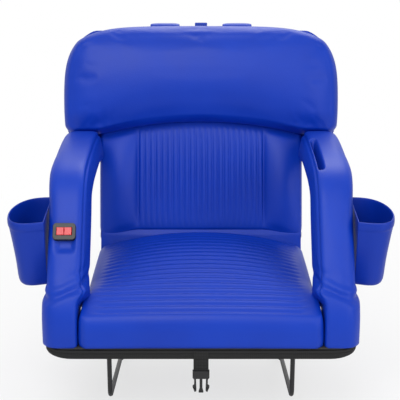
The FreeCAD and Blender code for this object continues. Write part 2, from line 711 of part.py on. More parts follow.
# Back: tube, board and rear cover, then the padded front
tube_y = size.back_board_thick + size.tube_dia / 2
back_path = [
    Vector(rail_x, tube_y, size.neck_top), Vector(rail_x, tube_y, size.back_tube_top),
    Vector(-rail_x, tube_y, size.back_tube_top), Vector(-rail_x, tube_y, size.neck_top),
]
back_tube = tube(back_path, size.tube_bend, size.tube_dia / 2, size.tube_wall)
keep(on_back(formed("BackFrame", back_tube)), "back_frame")

rear = new_body("RearOuter")
WINGS = "panel_width / 2 + arm_width + bolster_over - tray_margin"
REAR = [("-panel_width / 2", "tray_bottom"), ("panel_width / 2", "tray_bottom"),
        ("panel_width / 2", "bolster_low"), (WINGS, "bolster_low"),
        (WINGS, "bolster_top - tray_margin"), (f"-({WINGS})", "bolster_top - tray_margin"),
        (f"-({WINGS})", "bolster_low"), ("-panel_width / 2", "bolster_low")]
TOP = size.bolster_top - size.tray_margin


def top_corner(edge):
    """The two upper corners of the rear cover."""
    return runs_along(edge, Y_AXIS) and edge.Vertexes[0].Point.z > TOP - 2 * size.base_wall - 1


pad(rear, outline(sketch(rear, "XZ_Plane"), REAR), "tray_depth", True)
rounded(rear, "bolster_corner - tray_margin", top_corner)
rounded(rear, "base_edge", lambda edge: lies_at(edge, Y_AXIS, size.tray_depth))
rear_in = new_body("RearInner")
REAR_SIGNS = [(1, 1), (-1, 1), (-1, 1), (-1, 1), (-1, -1), (1, -1), (1, 1), (1, 1)]
REAR_IN = [(f"{across} + ({sx}) * cover_thick", f"{up} + ({sy}) * cover_thick")
           for (across, up), (sx, sy) in zip(REAR, REAR_SIGNS)]
pad(rear_in, outline(sketch(rear_in, "XZ_Plane", "1"), REAR_IN), "tray_depth - cover_thick + 1", True)
rounded(rear_in, "bolster_corner - tray_margin - cover_thick", top_corner)
rear_shell = minus("RearShell", rear, rear_in)
legs = []
for side, sign in (("Right", ""), ("Left", "-")):
    legs.append(cylinder(f"LegHole{side}", "tube_dia / 2 + gap", "10 * cover_thick",
                         (f"{sign}(panel_width / 2 - tube_inset)", "back_board_thick + tube_dia / 2",
                          "tray_bottom - 5 * cover_thick")))
keep(on_back(minus("RearCover", rear_shell, group("LegHoles", legs))), "rear_cover")

back_board = new_body("BackBoard")
edge_x = "panel_width / 2 - cover_thick - gap"
BOARD = [(f"-({edge_x})", "tray_bottom + cover_thick + gap"), (edge_x, "tray_bottom + cover_thick + gap"),
         (edge_x, "back_tube_top + tube_dia"), (f"-({edge_x})", "back_tube_top + tube_dia")]
pad(back_board, outline(sketch(back_board, "XZ_Plane"), BOARD), "back_board_thick", True)
rounded(back_board, "tube_bend", lambda edge: runs_along(edge, Y_AXIS) and edge.Vertexes[0].Point.z > 100)
keep(on_back(back_board), "back_board")


def bolster_floor(x):
    """Lower edge of the bolster: an arch over the back pad, level at the wings, lifted at the ends."""
    inner = min(1.0, abs(x) / half)
    outer = max(0.0, (abs(x) - bolster_half + 26) / 26)
    return size.bolster_low + size.bolster_arch * (1 - inner ** 2) + 16 * outer ** 3


def pad_thickness(x, sunk):
    """Thickness of the back pad: ribs in the middle, a seam, and a swelling at each side."""
    reach = size.rib_panel / 2
    if abs(x) <= reach:
        return size.rib_top - sunk
    share = (abs(x) - reach) / (half - reach)
    return size.rib_top - 6 + (size.side_pad - size.rib_top + 6) * sin(pi * min(1.0, share * 0.9 + 0.02))


def back_section(x, thick, inset):
    """One section of the back pad across X: flat at the board, bellied in front."""
    low, high = size.pad_bottom + inset, bolster_floor(x) - size.seam_gap - inset
    edge = size.pad_edge - inset
    a, b = Vector(x, 0, low), Vector(x, 0, high)
    c, d = Vector(x, -edge, high), Vector(x, -edge, low)
    belly = Part.Arc(c, Vector(x, -max(edge + 1, thick - inset), (low + high) / 2), d)
    lines = [Part.LineSegment(a, b), Part.LineSegment(b, c), Part.LineSegment(d, a)]
    return Part.Wire([lines[0].toShape(), lines[1].toShape(), belly.toShape(), lines[2].toShape()])


def back_solid(inset):
    """The ribbed back pad, drawn in all round by an inset."""
    reach, count = size.rib_panel / 2, int(size.rib_count)
    side = [reach + (half - inset - reach) * share for share in (0.12, 0.3, 0.5, 0.7, 0.88, 1.0)]
    stations = [(-x, 0) for x in reversed(side)]
    for index in range(2 * count + 1):
        x = -reach + index * size.rib_panel / (2 * count)
        stations.append((x, size.rib_depth if index % 2 == 0 else 0))
    stations += [(x, 0) for x in side]
    return Part.makeLoft([back_section(x, pad_thickness(x, sunk), inset) for x, sunk in stations], True, True)


def pushed(shape, back):
    """The same shape moved towards the rear."""
    moved = shape.copy()
    moved.translate(Vector(0, back, 0))
    return moved


back_hollow = back_solid(cover_in)
back_skin = back_solid(0).cut(back_hollow.fuse(pushed(back_hollow, cover_in)))
keep(on_back(formed("BackCover", back_skin)), "back_cover")
mat_up = (size.pad_bottom + size.bolster_low) / 2
back_slit = Part.makeBox(
    size.back_mat_width + 4, size.mat_slit, size.back_mat_height + size.pad_bottom,
    Vector(-size.back_mat_width / 2 - 2, -size.mat_slit - 2,
           mat_up - size.back_mat_height / 2 - size.pad_bottom))
back_foam = pushed(back_solid(foam_inset + size.gap), -size.gap).cut(back_slit)
keep(on_back(formed("BackFoam", back_foam)), "back_foam")
back_mat = Part.makeBox(
    size.back_mat_width, size.mat_thick, size.back_mat_height,
    Vector(-size.back_mat_width / 2, -2.5 - size.mat_thick, mat_up - size.back_mat_height / 2))
keep(on_back(formed("BackMat", back_mat)), "back_heating_mat")
back_wire_y = -2.5 - size.mat_thick - size.wire_dia / 2
back_pitch = 2 * size.rib_panel / size.rib_count
back_runs = int((size.back_mat_width - 20) / back_pitch)
back_wire = serpentine(back_runs, back_pitch, size.back_mat_height / 2 - 8,
                       lambda along, across: Vector(along, back_wire_y, mat_up + across))
keep(on_back(formed("BackWire", back_wire)), "back_heating_wire")


def bolster_section(x, inset):
    """One section of the bolster across X: flat at the board, rolled below, full in front, rolled over."""
    corner = max(0.0, abs(x) - bolster_half + size.bolster_corner)
    drop = size.bolster_corner - sqrt(max(0.0, size.bolster_corner ** 2 - corner ** 2))
    end = min(1.0, max(0.0, (abs(x) - bolster_half + 55) / 55))
    thick = 22 + (size.bolster_thick - 22) * sqrt(max(0.0, 1 - end ** 2)) - inset
    low, high = bolster_floor(x) + inset, size.bolster_top - drop - inset
    tall = high - low
    points = [(0, low), (0.45 * thick, low - 1.5), (0.92 * thick, low + 0.17 * tall),
              (thick, low + 0.42 * tall), (0.74 * thick, high - 0.14 * tall),
              (0.38 * thick, high - 0.025 * tall), (0, high)]
    at = [Vector(x, -forward, up) for forward, up in points]
    arcs = [Part.Arc(at[0], at[1], at[2]), Part.Arc(at[2], at[3], at[4]), Part.Arc(at[4], at[5], at[6])]
    return Part.Wire([arc.toShape() for arc in arcs] + [Part.LineSegment(at[6], at[0]).toShape()])


def bolster_solid(inset):
    """The wide top bolster, drawn in all round by an inset."""
    ends = [bolster_half - inset - step for step in (60, 42, 28, 17, 9, 4, 0)]
    right = [half * 0.3, half * 0.6, *[x for x in ends if x > half * 0.7]]
    stations = [-x for x in reversed(right)] + [0] + right
    return Part.makeLoft([bolster_section(x, inset) for x in stations], True, True)


bolster_hollow = bolster_solid(cover_in)
bolster_skin = bolster_solid(0).cut(bolster_hollow.fuse(pushed(bolster_hollow, cover_in)))
keep(on_back(formed("BolsterCover", bolster_skin)), "bolster_cover")
bolster_core = pushed(bolster_solid(foam_inset + size.gap), -size.gap)
keep(on_back(formed("BolsterFoam", bolster_core)), "bolster_foam")

# Carrying straps and buckle socket behind the back
strap_y = size.tray_depth + size.gap + size.strap_thick / 2
strap_far = strap_y + size.strap_off + size.strap_thick
strap_path = [
    Vector(size.strap_x, strap_y, size.bolster_low + 130), Vector(size.strap_x, strap_y, size.strap_top - 5),
    Vector(size.strap_x, strap_far, size.strap_top - 5), Vector(size.strap_x, strap_far, size.strap_foot),
    Vector(size.strap_x, strap_y, size.strap_foot), Vector(size.strap_x, strap_y, size.strap_foot + 60),
]
strap_bend = min(size.strap_bend, (strap_far - strap_y) / 2 - 0.2)
strap_shape = band(strap_path, strap_bend, size.strap_width, size.strap_thick)
right_strap = keep(on_back(formed("RightStrap", strap_shape)), "right_shoulder_strap")
keep(mirrored("LeftStrap", right_strap), "left_shoulder_strap")
loop_y = size.tray_depth + size.gap + size.web_thick / 2
loop_far = loop_y + size.socket_thick
rear_path = [
    Vector(0, loop_y, size.bolster_top - 50), Vector(0, loop_y, size.strap_top - 2),
    Vector(0, loop_far, size.strap_top - 2), Vector(0, loop_far, size.bolster_top - 75),
]
rear_strap = band(rear_path, (loop_far - loop_y) / 2 - 0.2, size.web_width, size.web_thick)
keep(on_back(formed("RearStrap", rear_strap)), "rear_strap")

socket = new_body("BuckleSocket")
socket_rim = "bolster_top - 75 - gap"
face = [("-socket_width / 2", socket_rim), ("socket_width / 2", socket_rim),
        ("socket_width / 2 - 2", f"{socket_rim} - socket_length"),
        ("2 - socket_width / 2", f"{socket_rim} - socket_length")]
socket_lift = "-tray_depth - gap - web_thick / 2 - 1.5 * socket_thick"
pad(socket, outline(sketch(socket, "XZ_Plane", socket_lift), face), "socket_thick")
mouth = [("3 - socket_width / 2", f"-({socket_lift}) - 2.5"),
         ("socket_width / 2 - 3", f"-({socket_lift}) - 2.5"),
         ("socket_width / 2 - 3", f"-({socket_lift}) - socket_thick + 2.5"),
         ("3 - socket_width / 2", f"-({socket_lift}) - socket_thick + 2.5")]
mouth_sketch = sketch(socket, "XY_Plane", f"{socket_rim} - socket_length")
blind(socket, outline(mouth_sketch, mouth), "socket_length - 8", True)
keep(on_back(socket), "buckle_socket")

# Cloth flap that closes the crease between seat and back in front of the hinges
turn = radians(size.lean)


def back_point(forward, up):
    """A point of the leaning back in the seat's frame, in the middle plane."""
    return Vector(0, hinge_y + up * sin(turn) - forward * cos(turn),
                  size.hinge_z + up * cos(turn) + forward * sin(turn))


flap_top = back_point(size.pad_edge - 3, size.pad_bottom - 1)
flap_y = size.seat_rear + 5
flap_path = [
    Vector(0, flap_y, size.base_height + 2), Vector(0, flap_y, size.hinge_z - 2),
    Vector(0, flap_y + 6, size.hinge_z + 14), flap_top,
]
keep(formed("HingeFlap", band(flap_path, 6, size.panel_width - 4, size.cover_thick)), "hinge_flap")

# Arms: a soft bolster from the base wing up to the elbow and back to the side of the back pad
foot_y = -size.seat_front + 1 + size.foot_thick / 2
tail = back_point(-2, size.bolster_low - 36)
mid_y = 130
beside = 0.6
ARM = [
    (foot_y, size.base_height + size.gap, half + 0.5, arm_out + 2, size.foot_thick),
    (foot_y, size.knee_z, half + 0.5, arm_out - 3, size.foot_thick),
    (-size.elbow_y, size.elbow_z, half - size.arm_lap, arm_out - 1, size.arm_thick),
    (mid_y, size.elbow_z + size.arm_rise, half + beside, arm_out + 3, size.arm_thick),
    (tail.y, tail.z, half + beside, arm_out + 3, size.arm_thick - 3),
]
ARM_BENDS = [46, size.arm_bend, 90]


def arm_stations():
    """Places along the arm: middle, heading, inner and outer face, thickness."""
    points = [Vector(0, row[0], row[1]) for row in ARM]
    lengths = [0.0]
    for before, after in zip(points, points[1:]):
        lengths.append(lengths[-1] + (after - before).Length)
    made = [(points[0], (points[1] - points[0]).normalize(), 0.0)]
    for index, bend in enumerate(ARM_BENDS, 1):
        corner = points[index]
        into = (corner - points[index - 1]).normalize()
        out = (points[index + 1] - corner).normalize()
        angle = acos(into.dot(out))
        run = bend * tan(angle / 2)
        centre = corner + (out - into).normalize() * (bend / cos(angle / 2))
        start = corner - into * run
        side = 1 if into.cross(out).x > 0 else -1
        for step in range(5):
            part = side * angle * step / 4
            about = Rotation(X_AXIS, part * 180 / pi)
            where = centre + about.multVec(start - centre)
            made.append((where, about.multVec(into), lengths[index] + run * (step - 2) / 2))
    made.append((points[-1], (points[-1] - points[-2]).normalize(), lengths[-1]))
    rows = []
    for where, way, along in made:
        seat = max(n for n in range(len(lengths) - 1) if along >= lengths[n] - 0.001 or n == 0)
        share = min(1.0, (along - lengths[seat]) / (lengths[seat + 1] - lengths[seat]))
        blend = [a + (b - a) * share for a, b in zip(ARM[seat][2:], ARM[seat + 1][2:])]
        rows.append((where, way, *blend))
    return rows


def arm_section(where, way, inside, outside, thick, inset):
    """A rounded, slightly bellied section square to the arm's run."""
    up = X_AXIS.cross(way)
    mid, wide, tall = (inside + outside) / 2, (outside - inside) / 2 - inset, thick / 2 - inset
    turn_in, swell = max(2.0, size.arm_corner - inset), size.arm_crown

    def at(x, s):
        return where + X_AXIS * (mid + x) + up * s

    flat_x, flat_s = wide - turn_in, tall - swell - turn_in
    bevel = turn_in * (1 - sqrt(0.5))
    edge_s = tall - swell
    curves = []
    for sx, ss in ((1, 1), (-1, 1), (-1, -1), (1, -1)):
        corner = [at(sx * wide, ss * flat_s), at(sx * (wide - bevel), ss * (edge_s - bevel)),
                  at(sx * flat_x, ss * edge_s)]
        if sx * ss < 0:
            corner.reverse()
        curves.append(Part.Arc(*corner))
        if sx * ss > 0:
            belly = [at(sx * flat_x, ss * edge_s), at(0, ss * tall), at(-sx * flat_x, ss * edge_s)]
            curves.append(Part.Arc(*belly))
        else:
            curves.append(Part.LineSegment(at(sx * wide, ss * flat_s), at(sx * wide, -ss * flat_s)))
    return Part.Wire([curve.toShape() for curve in curves])


def arm_solid(inset, past):
    """The right arm, drawn in by an inset, its ends moved out by an amount."""
    rows = arm_stations()
    wires = []
    for index, (where, way, inside, outside, thick) in enumerate(rows):
        shift = -past if index == 0 else past if index == len(rows) - 1 else 0
        wires.append(arm_section(where + way * shift, way, inside, outside, thick, inset))
    return Part.makeLoft(wires, True, True)


def other_side(shape):
    return shape.mirror(Vector(), X_AXIS)


arm_skin = arm_solid(0, 0).cut(arm_solid(cover_in, 1))
arm_core = arm_solid(foam_inset, -size.gap)

# Slot with a sleeve for a phone, along the inner upper edge of the right arm
elbow_top = size.elbow_z + size.arm_thick / 2
slot_slope = (size.arm_lap + beside) / (mid_y + size.elbow_y)
slot_y = mid_y - size.phone_length / 2 - 4
slot_x = half - size.arm_lap + size.arm_corner + slot_slope * (slot_y + size.elbow_y)
slot_floor = elbow_top - size.phone_depth + 6


def slot_block(trim, floor):
    """A tall block in line with the slot, drawn in on four sides by a trim, standing on a floor."""
    wide, length = size.phone_width - 2 * trim, size.phone_length - 2 * trim
    block = Part.makeBox(wide, length, 2 * size.phone_depth, Vector(-wide / 2, -length / 2, floor))
    block.rotate(Vector(), Z_AXIS, -atan(slot_slope) * 180 / pi)
    block.translate(Vector(slot_x, slot_y, 0))
    return block


phone_cut = slot_block(0, slot_floor)
sleeve_trim = size.gap + size.sleeve_thick
sleeve_hollow = slot_block(sleeve_trim, slot_floor + sleeve_trim)
sleeve = slot_block(size.gap, slot_floor + size.gap).cut(sleeve_hollow).common(arm_solid(0, 0))
keep(formed("RightArmCover", arm_skin.cut(phone_cut)), "right_arm_cover")
keep(formed("RightArmFoam", arm_core.cut(phone_cut)), "right_arm_foam")
keep(formed("PhoneSleeve", sleeve), "phone_sleeve")

# Heat control let into the front of the left arm
run_y, run_z = -size.elbow_y - foot_y, size.elbow_z - size.knee_z
tilt = acos(run_z / sqrt(run_y ** 2 + run_z ** 2))
face_share = (size.control_z - size.knee_z) / run_z
face_y = foot_y + run_y * face_share
face_thick = size.foot_thick + (size.arm_thick - size.foot_thick) * face_share
control_at = Vector(-(half + size.control_side), face_y - face_thick / 2 * cos(tilt),
                    size.control_z + face_thick / 2 * sin(tilt))
control_place = Placement(control_at, Rotation(X_AXIS, -tilt * 180 / pi))


def on_arm(made):
    """Puts a piece drawn on an upright face onto the sloping front of the left arm."""
    made.Placement = control_place
    return made


CONTROL = [("-control_width / 2", "-control_height / 2"), ("control_width / 2", "-control_height / 2"),
           ("control_width / 2", "control_height / 2"), ("-control_width / 2", "control_height / 2")]
WINDOW = [(a.replace("control", "window"), b.replace("control", "window")) for a, b in CONTROL]
housing = new_body("ControlHousing")
pad(housing, outline(sketch(housing, "XZ_Plane", "-control_deep"), CONTROL), "control_deep + control_proud")
rounded(housing, "control_corner", lambda edge: runs_along(edge, Y_AXIS))
blind(housing, outline(sketch(housing, "XZ_Plane", "control_proud"), WINDOW),
      "control_deep + control_proud - control_floor")
rounded(housing, "control_proud / 3",
        lambda edge: lies_at(edge, Y_AXIS, -size.control_proud) and edge.BoundBox.XLength < size.control_width
        and edge.CenterOfMass.Length > size.window_height * 0.9)
keep(on_arm(housing), "controller_housing")

recess = Part.makeBox(
    size.control_width + 2 * size.gap, size.control_deep + size.gap + 20, size.control_height + 2 * size.gap,
    Vector(-size.control_width / 2 - size.gap, -20, -size.control_height / 2 - size.gap))
recess.Placement = control_place
keep(formed("LeftArmCover", other_side(arm_skin).cut(recess)), "left_arm_cover")
keep(formed("LeftArmFoam", other_side(arm_core).cut(recess)), "left_arm_foam")

pcb = new_body("ControlBoard")
PCB = [(f"({a}) * 0.97", f"({b}) * 0.95") for a, b in WINDOW]
pad(pcb, outline(sketch(pcb, "XZ_Plane", "control_floor - control_deep"), PCB), "pcb_thick")
keep(on_arm(pcb), "controller_board")
switches, buttons = [], []
for label, middle in (("Low", "-window_width / 4"), ("High", "window_width / 4")):
    switch = new_body(f"Switch{label}")
    SQUARE = [(f"{middle} {sx} switch_size / 2", f"0 {sz} switch_size / 2") for sx, sz in
              (("-", "-"), ("+", "-"), ("+", "+"), ("-", "+"))]
    switch_sketch = sketch(switch, "XZ_Plane", "control_floor + pcb_thick - control_deep")
    pad(switch, outline(switch_sketch, SQUARE), "switch_tall")
    switches.append(on_arm(switch))
    button = new_body(f"Button{label}")
    FACE = [(f"{middle} {sx} (window_width / 4 - gap)", f"0 {sz} (window_height / 2 - gap)") for sx, sz in
            (("-", "-"), ("+", "-"), ("+", "+"), ("-", "+"))]
    pad(button, outline(sketch(button, "XZ_Plane", "control_proud + button_proud - button_thick"), FACE),
        "button_thick")
    front_face = -(size.control_proud + size.button_proud)
    rounded(button, "button_edge", lambda edge: lies_at(edge, Y_AXIS, front_face))
    keep(on_arm(button), f"{label.lower()}_heat_button")
keep(group("Switches", switches), "controller_switches")

# Cup pockets: open bags sewn to the outer side of the arms by a tab
pocket_x = arm_out + 1


def pocket_section(z, scale, inset):
    """Level section of a pocket: a flat wall at the arm and a bowed wall outside."""
    inner = pocket_x + inset
    depth = size.pocket_half * scale - inset
    outer = pocket_x + size.pocket_bulge * scale - inset
    a, b = Vector(inner, -size.pocket_y - depth, z), Vector(inner, -size.pocket_y + depth, z)
    bow = Part.Arc(b, Vector(outer, -size.pocket_y, z), a)
    return Part.Wire([Part.LineSegment(a, b).toShape(), bow.toShape()])


def pocket_solid(inset, floor, rim):
    """A pocket that narrows downwards and is rounded in at its floor."""
    tall = size.pocket_rim - size.pocket_bottom
    rows = [(0.0, size.pocket_taper - 0.12), (0.05, size.pocket_taper - 0.04),
            (0.14, size.pocket_taper), (1.0, 1.0)]
    wires = []
    for share, scale in rows:
        z = size.pocket_bottom + tall * share
        z = floor if share == 0 else rim if share == 1 else z
        wires.append(pocket_section(z, scale, inset))
    return Part.makeLoft(wires, True, True)


pocket_wall = size.pocket_wall
bag = pocket_solid(0, size.pocket_bottom, size.pocket_rim)
bag = bag.cut(pocket_solid(pocket_wall, size.pocket_bottom + pocket_wall, size.pocket_rim + 1))
tab_z = (size.pocket_bottom + size.pocket_rim) / 2
tab_at = Vector(arm_out - 1.5 + size.gap, -size.pocket_y - size.pocket_tab, tab_z)
tab_wide = pocket_x + pocket_wall - tab_at.x
bag = bag.fuse(Part.makeBox(tab_wide, size.pocket_tab, 3 * size.pocket_tab, tab_at)).removeSplitter()
right_pocket = keep(formed("RightPocket", bag), "right_cup_pocket")
keep(mirrored("LeftPocket", right_pocket), "left_cup_pocket")

# Bench hooks: bent rods that fold up into the underside, their tips, brackets and screws
dip = radians(size.hook_slope)
front_y, low_z = -size.hook_front, -size.hook_drop
hook_end = Vector(size.hook_x, front_y + size.hook_reach, low_z - size.hook_reach * tan(dip))
hook_path = [
    Vector(size.hook_x, front_y + size.hook_axle, tube_z), Vector(size.hook_x, front_y, tube_z),
    Vector(size.hook_x, front_y, low_z), hook_end,
]
right_hook = keep(formed("RightHook", rod(hook_path, size.hook_bend, size.hook_rod / 2)), "right_bench_hook")
keep(mirrored("LeftHook", right_hook), "left_bench_hook")
hook_way = Vector(0, cos(dip), -sin(dip))
tip_start = hook_end - hook_way * (size.tip_length - 4)
tip_outer = Part.makeCylinder(size.tip_dia / 2, size.tip_length, tip_start, hook_way)
tip_inner = Part.makeCylinder(size.hook_rod / 2, size.tip_length - 4, tip_start, hook_way)
right_tip = keep(formed("RightTip", tip_outer.cut(tip_inner)), "right_hook_tip")
keep(mirrored("LeftTip", right_tip), "left_hook_tip")
saddles, screws = [], []
flange_z = "base_wall + gap + tube_dia - saddle_plate"
axle_z = "base_wall + gap + tube_dia / 2"
for spot in ("saddle_near", "saddle_far"):
    along = f"hook_axle - hook_front - {spot}"
    flange = box(f"Flange_{spot}", "saddle_width", "saddle_depth", "saddle_plate",
                 ("hook_x - saddle_width / 2", along, flange_z))
    block = box(f"Block_{spot}", "hook_rod + 8", "saddle_depth", "tube_dia / 2 + hook_rod / 2 + 2",
                ("hook_x - hook_rod / 2 - 4", along, f"{axle_z} - hook_rod / 2 - 2"))
    bore = cylinder(f"Bore_{spot}", "hook_rod / 2 + running", "saddle_depth + 2",
                    ("hook_x", f"{along} - 1", axle_z), ALONG_Y)
    saddle = minus(f"Drilled_{spot}", joined(f"Saddle_{spot}", [flange, block]), bore)
    for sign in ("-", "+"):
        name = f"{spot}_{'in' if sign == '-' else 'out'}"
        where = (f"hook_x {sign} (saddle_width / 2 - 6)", f"{along} + saddle_depth / 2")
        hole = cylinder(f"Hole_{name}", "screw_dia / 2 + running", "saddle_plate + 4",
                        (*where, f"{flange_z} - 2"))
        saddle = minus(f"Saddle_{name}", saddle, hole)
        shank = cylinder(f"Shank_{name}", "screw_dia / 2", "saddle_plate + head_thick",
                         (*where, f"{flange_z} - head_thick"))
        head = cylinder(f"Head_{name}", "screw_head / 2", "head_thick", (*where, f"{flange_z} - head_thick"))
        screw = joined(f"Screw_{name}", [shank, head])
        screws += [screw, mirrored(f"LeftScrew_{name}", screw)]
    saddles += [saddle, mirrored(f"LeftSaddle_{spot}", saddle)]
keep(group("HookBrackets", saddles), "hook_brackets")
keep(group("HookScrews", screws), "hook_bracket_screws")

# Front strap: a sewn tab, a hanging end and the buckle plug on it
web_y = "-seat_front - gap - web_thick"
keep(box("StrapTab", "web_width", "web_thick", "base_height - 4",
         ("-web_width / 2", web_y, "2 + web_thick / 2 + gap")), "strap_tab")
hang = box("StrapHang", "web_width", "web_thick", "strap_drop + 2", ("-web_width / 2", web_y, "-strap_drop"))
curl = cylinder("StrapCurl", "web_thick / 2", "web_width",
                ("-web_width / 2", "-seat_front - gap - web_thick / 2", "2"), ALONG_X)
keep(joined("FrontStrap", [hang, curl]), "front_strap")
plug = new_body("BucklePlug")
plug_top = "plug_bar / 2 - strap_drop"
bar_low = f"{plug_top} - plug_bar"
tip_low = f"{bar_low} - prong_length"
half_plug = [
    ("plug_width / 2", plug_top), ("plug_width / 2", bar_low), ("plug_width / 2 - 2.6", f"{bar_low} - 3"),
    ("plug_width / 2 - 2.6", f"{tip_low} + 11"), ("plug_width / 2", f"{tip_low} + 9"),
    ("plug_width / 2 - 3.4", f"{tip_low}"), ("plug_width / 2 - 6.4", f"{tip_low} + 2"),
    ("plug_width / 2 - 5.6", f"{bar_low} - 2"), ("2.4", f"{bar_low} - 2"), ("2.4", f"{tip_low} + 4"),
    ("4", f"{tip_low} - 1"),
]
PLUG = half_plug + [(f"-({across})", up) for across, up in reversed(half_plug)]
plug_lift = "seat_front + gap + web_thick / 2 - plug_thick / 2"
pad(plug, outline(sketch(plug, "XZ_Plane", plug_lift), PLUG), "plug_thick")
seat_of_web = [("-web_width / 2 - gap", f"{web_y} - gap"), ("web_width / 2 + gap", f"{web_y} - gap"),
               ("web_width / 2 + gap", f"{web_y} + web_thick + gap"),
               ("-web_width / 2 - gap", f"{web_y} + web_thick + gap")]
blind(plug, outline(sketch(plug, "XY_Plane", plug_top), seat_of_web), "plug_bar / 2 + gap")
eyes = sketch(plug, "XZ_Plane", plug_lift)
for sign in ("", "-"):
    ring(eyes, f"{sign}(plug_width / 2 - 3.6)", f"{tip_low} + 6.5", "1.2")
pocket(plug, eyes)
keep(plug, "buckle_plug")

doc.recompute()
for item in doc.Objects:
    bad = [state for state in item.State if state in ("Invalid", "Error")]
    if bad:
        raise RuntimeError(f"{item.Name} {item.Label} is {bad}")
os.makedirs("parts", exist_ok=True)
for item in pieces:
    shape = item.Shape
    if shape.isNull() or not shape.isValid() or shape.Volume <= 0:
        raise RuntimeError(f"{item.Label} has no sound shape")
    shape.exportStep(f"parts/{item.Label}.step")
    print(item.Label, len(shape.Solids), round(shape.Volume / 1000, 2))
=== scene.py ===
import json
from math import atan2, cos, pi, radians, sin

import bpy
import numpy as np
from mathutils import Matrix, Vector
from mathutils.geometry import tessellate_polygon

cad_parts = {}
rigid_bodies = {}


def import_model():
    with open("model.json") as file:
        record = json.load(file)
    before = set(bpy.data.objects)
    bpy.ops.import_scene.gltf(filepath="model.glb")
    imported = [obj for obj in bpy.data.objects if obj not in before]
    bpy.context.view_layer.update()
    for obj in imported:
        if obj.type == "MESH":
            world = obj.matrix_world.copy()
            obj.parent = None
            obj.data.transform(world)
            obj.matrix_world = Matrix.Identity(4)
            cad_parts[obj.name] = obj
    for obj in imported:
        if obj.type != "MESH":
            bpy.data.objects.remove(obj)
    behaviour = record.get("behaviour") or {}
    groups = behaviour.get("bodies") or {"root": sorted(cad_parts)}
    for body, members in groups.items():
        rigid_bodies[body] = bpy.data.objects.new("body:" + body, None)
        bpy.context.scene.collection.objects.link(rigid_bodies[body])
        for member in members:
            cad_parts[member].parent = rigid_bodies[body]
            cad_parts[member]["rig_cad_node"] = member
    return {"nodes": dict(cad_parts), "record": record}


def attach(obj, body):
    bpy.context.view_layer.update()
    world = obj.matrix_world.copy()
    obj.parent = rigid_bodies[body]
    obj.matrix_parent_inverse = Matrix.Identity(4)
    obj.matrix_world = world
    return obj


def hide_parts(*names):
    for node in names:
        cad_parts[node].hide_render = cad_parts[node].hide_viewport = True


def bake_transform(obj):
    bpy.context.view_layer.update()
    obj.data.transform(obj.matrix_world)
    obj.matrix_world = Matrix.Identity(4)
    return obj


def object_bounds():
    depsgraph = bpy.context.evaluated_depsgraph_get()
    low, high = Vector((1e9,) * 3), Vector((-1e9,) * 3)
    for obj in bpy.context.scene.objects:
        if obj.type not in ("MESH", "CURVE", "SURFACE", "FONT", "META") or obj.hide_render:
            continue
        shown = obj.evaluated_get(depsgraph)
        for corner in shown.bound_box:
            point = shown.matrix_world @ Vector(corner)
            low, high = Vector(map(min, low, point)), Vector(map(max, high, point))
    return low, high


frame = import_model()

CAD_BOX = [list(corner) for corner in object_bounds()]
MM = 0.001

# Sizes of the seat in millimetres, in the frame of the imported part. BASE_TOP, where the blue covers end above the
# black base, is 5 mm lower than on the solids, as the photo shows.
HALF = 203.0
SEAT_FRONT, SEAT_REAR = -206.0, 172.0
BASE_TOP = 17.0
HINGE_Y, HINGE_Z, LEAN = 206.0, 78.0, radians(17)
BOLSTER_HALF, BOLSTER_LOW, BOLSTER_TOP = 275.0, 202.0, 418.0
CHANNEL_PITCH, FIRST_CHANNEL, CHANNELS = 18.0, -186.0, 19
RIB_HALF, RIBS = 125.0, 22
CROWN, CROWN_Y = 108, 56
SEAT_ROLL, SEAT_EDGE, SEAM_DIP = 15.5, 66, 2.6
ARM_INSIDE, ARM_LAP, ARM_OUTSIDE, ARM_THICK = 204.2, 17, 258.0, 60
ARM_RINGS, ARM_PLACES = 96, 56
ARM_CREASE_Z = 118
HOLLOW_X, HOLLOW_Z, HOLLOW_HALF_WIDE, HOLLOW_HALF_HIGH = 228.5, 177, 19, 13
PHONE_SLOT_FRONT, PHONE_SLOT_REAR, PHONE_SLOT_DEEP = -16, 118, 30.0
WEBBING_WIDE, WEBBING_THICK = 25.0, 1.6
POCKET_X, POCKET_Y, POCKET_LOW, POCKET_BULGE, POCKET_HIGH = 263.0, -66.0, 94.0, 65.0, 123


# Arrays to meshes


def smooth(x):
    """Rises from 0 to 1 as 3x^2 - 2x^3, flat outside that span."""
    x = np.clip(x, 0, 1)
    return x * x * (3 - 2 * x)


def spline_weights(count, controls, closed=False):
    """Cubic B-spline weights of evenly spaced places over evenly spaced controls; open ends are clamped."""
    if closed:
        t = np.arange(count) * controls / count
        low = np.floor(t).astype(int)
        f = t - low
        basis = np.stack([(1 - f) ** 3, 3 * f ** 3 - 6 * f ** 2 + 4,
                          -3 * f ** 3 + 3 * f ** 2 + 3 * f + 1, f ** 3], 1) / 6
        made = np.zeros((count, controls))
        for shift in range(4):
            np.add.at(made, (np.arange(count), (low + shift - 1) % controls), basis[:, shift])
        return made
    knots = np.concatenate([[0] * 3, np.linspace(0, 1, controls - 2), [1] * 3])
    t = np.linspace(0, 1 - 1e-9, count)[:, None]
    made = ((knots[:-1] <= t) & (t < knots[1:])).astype(float)
    for degree in (1, 2, 3):
        span = knots[degree:] - knots[:-degree]
        safe = np.where(span > 0, span, 1)
        rise = np.where(span > 0, (t - knots[:-degree]) / safe, 0)
        fall = np.where(span > 0, (knots[degree:] - t) / safe, 0)
        made = rise[:, :-1] * made[:, :-1] + fall[:, 1:] * made[:, 1:]
    return made


def spline(controls, count, closed=False):
    """Places along a cubic B-spline, spread evenly by length."""
    controls = np.asarray(controls, float)
    dense = spline_weights(40 * len(controls), len(controls), closed) @ controls
    return spread(dense, count, closed)


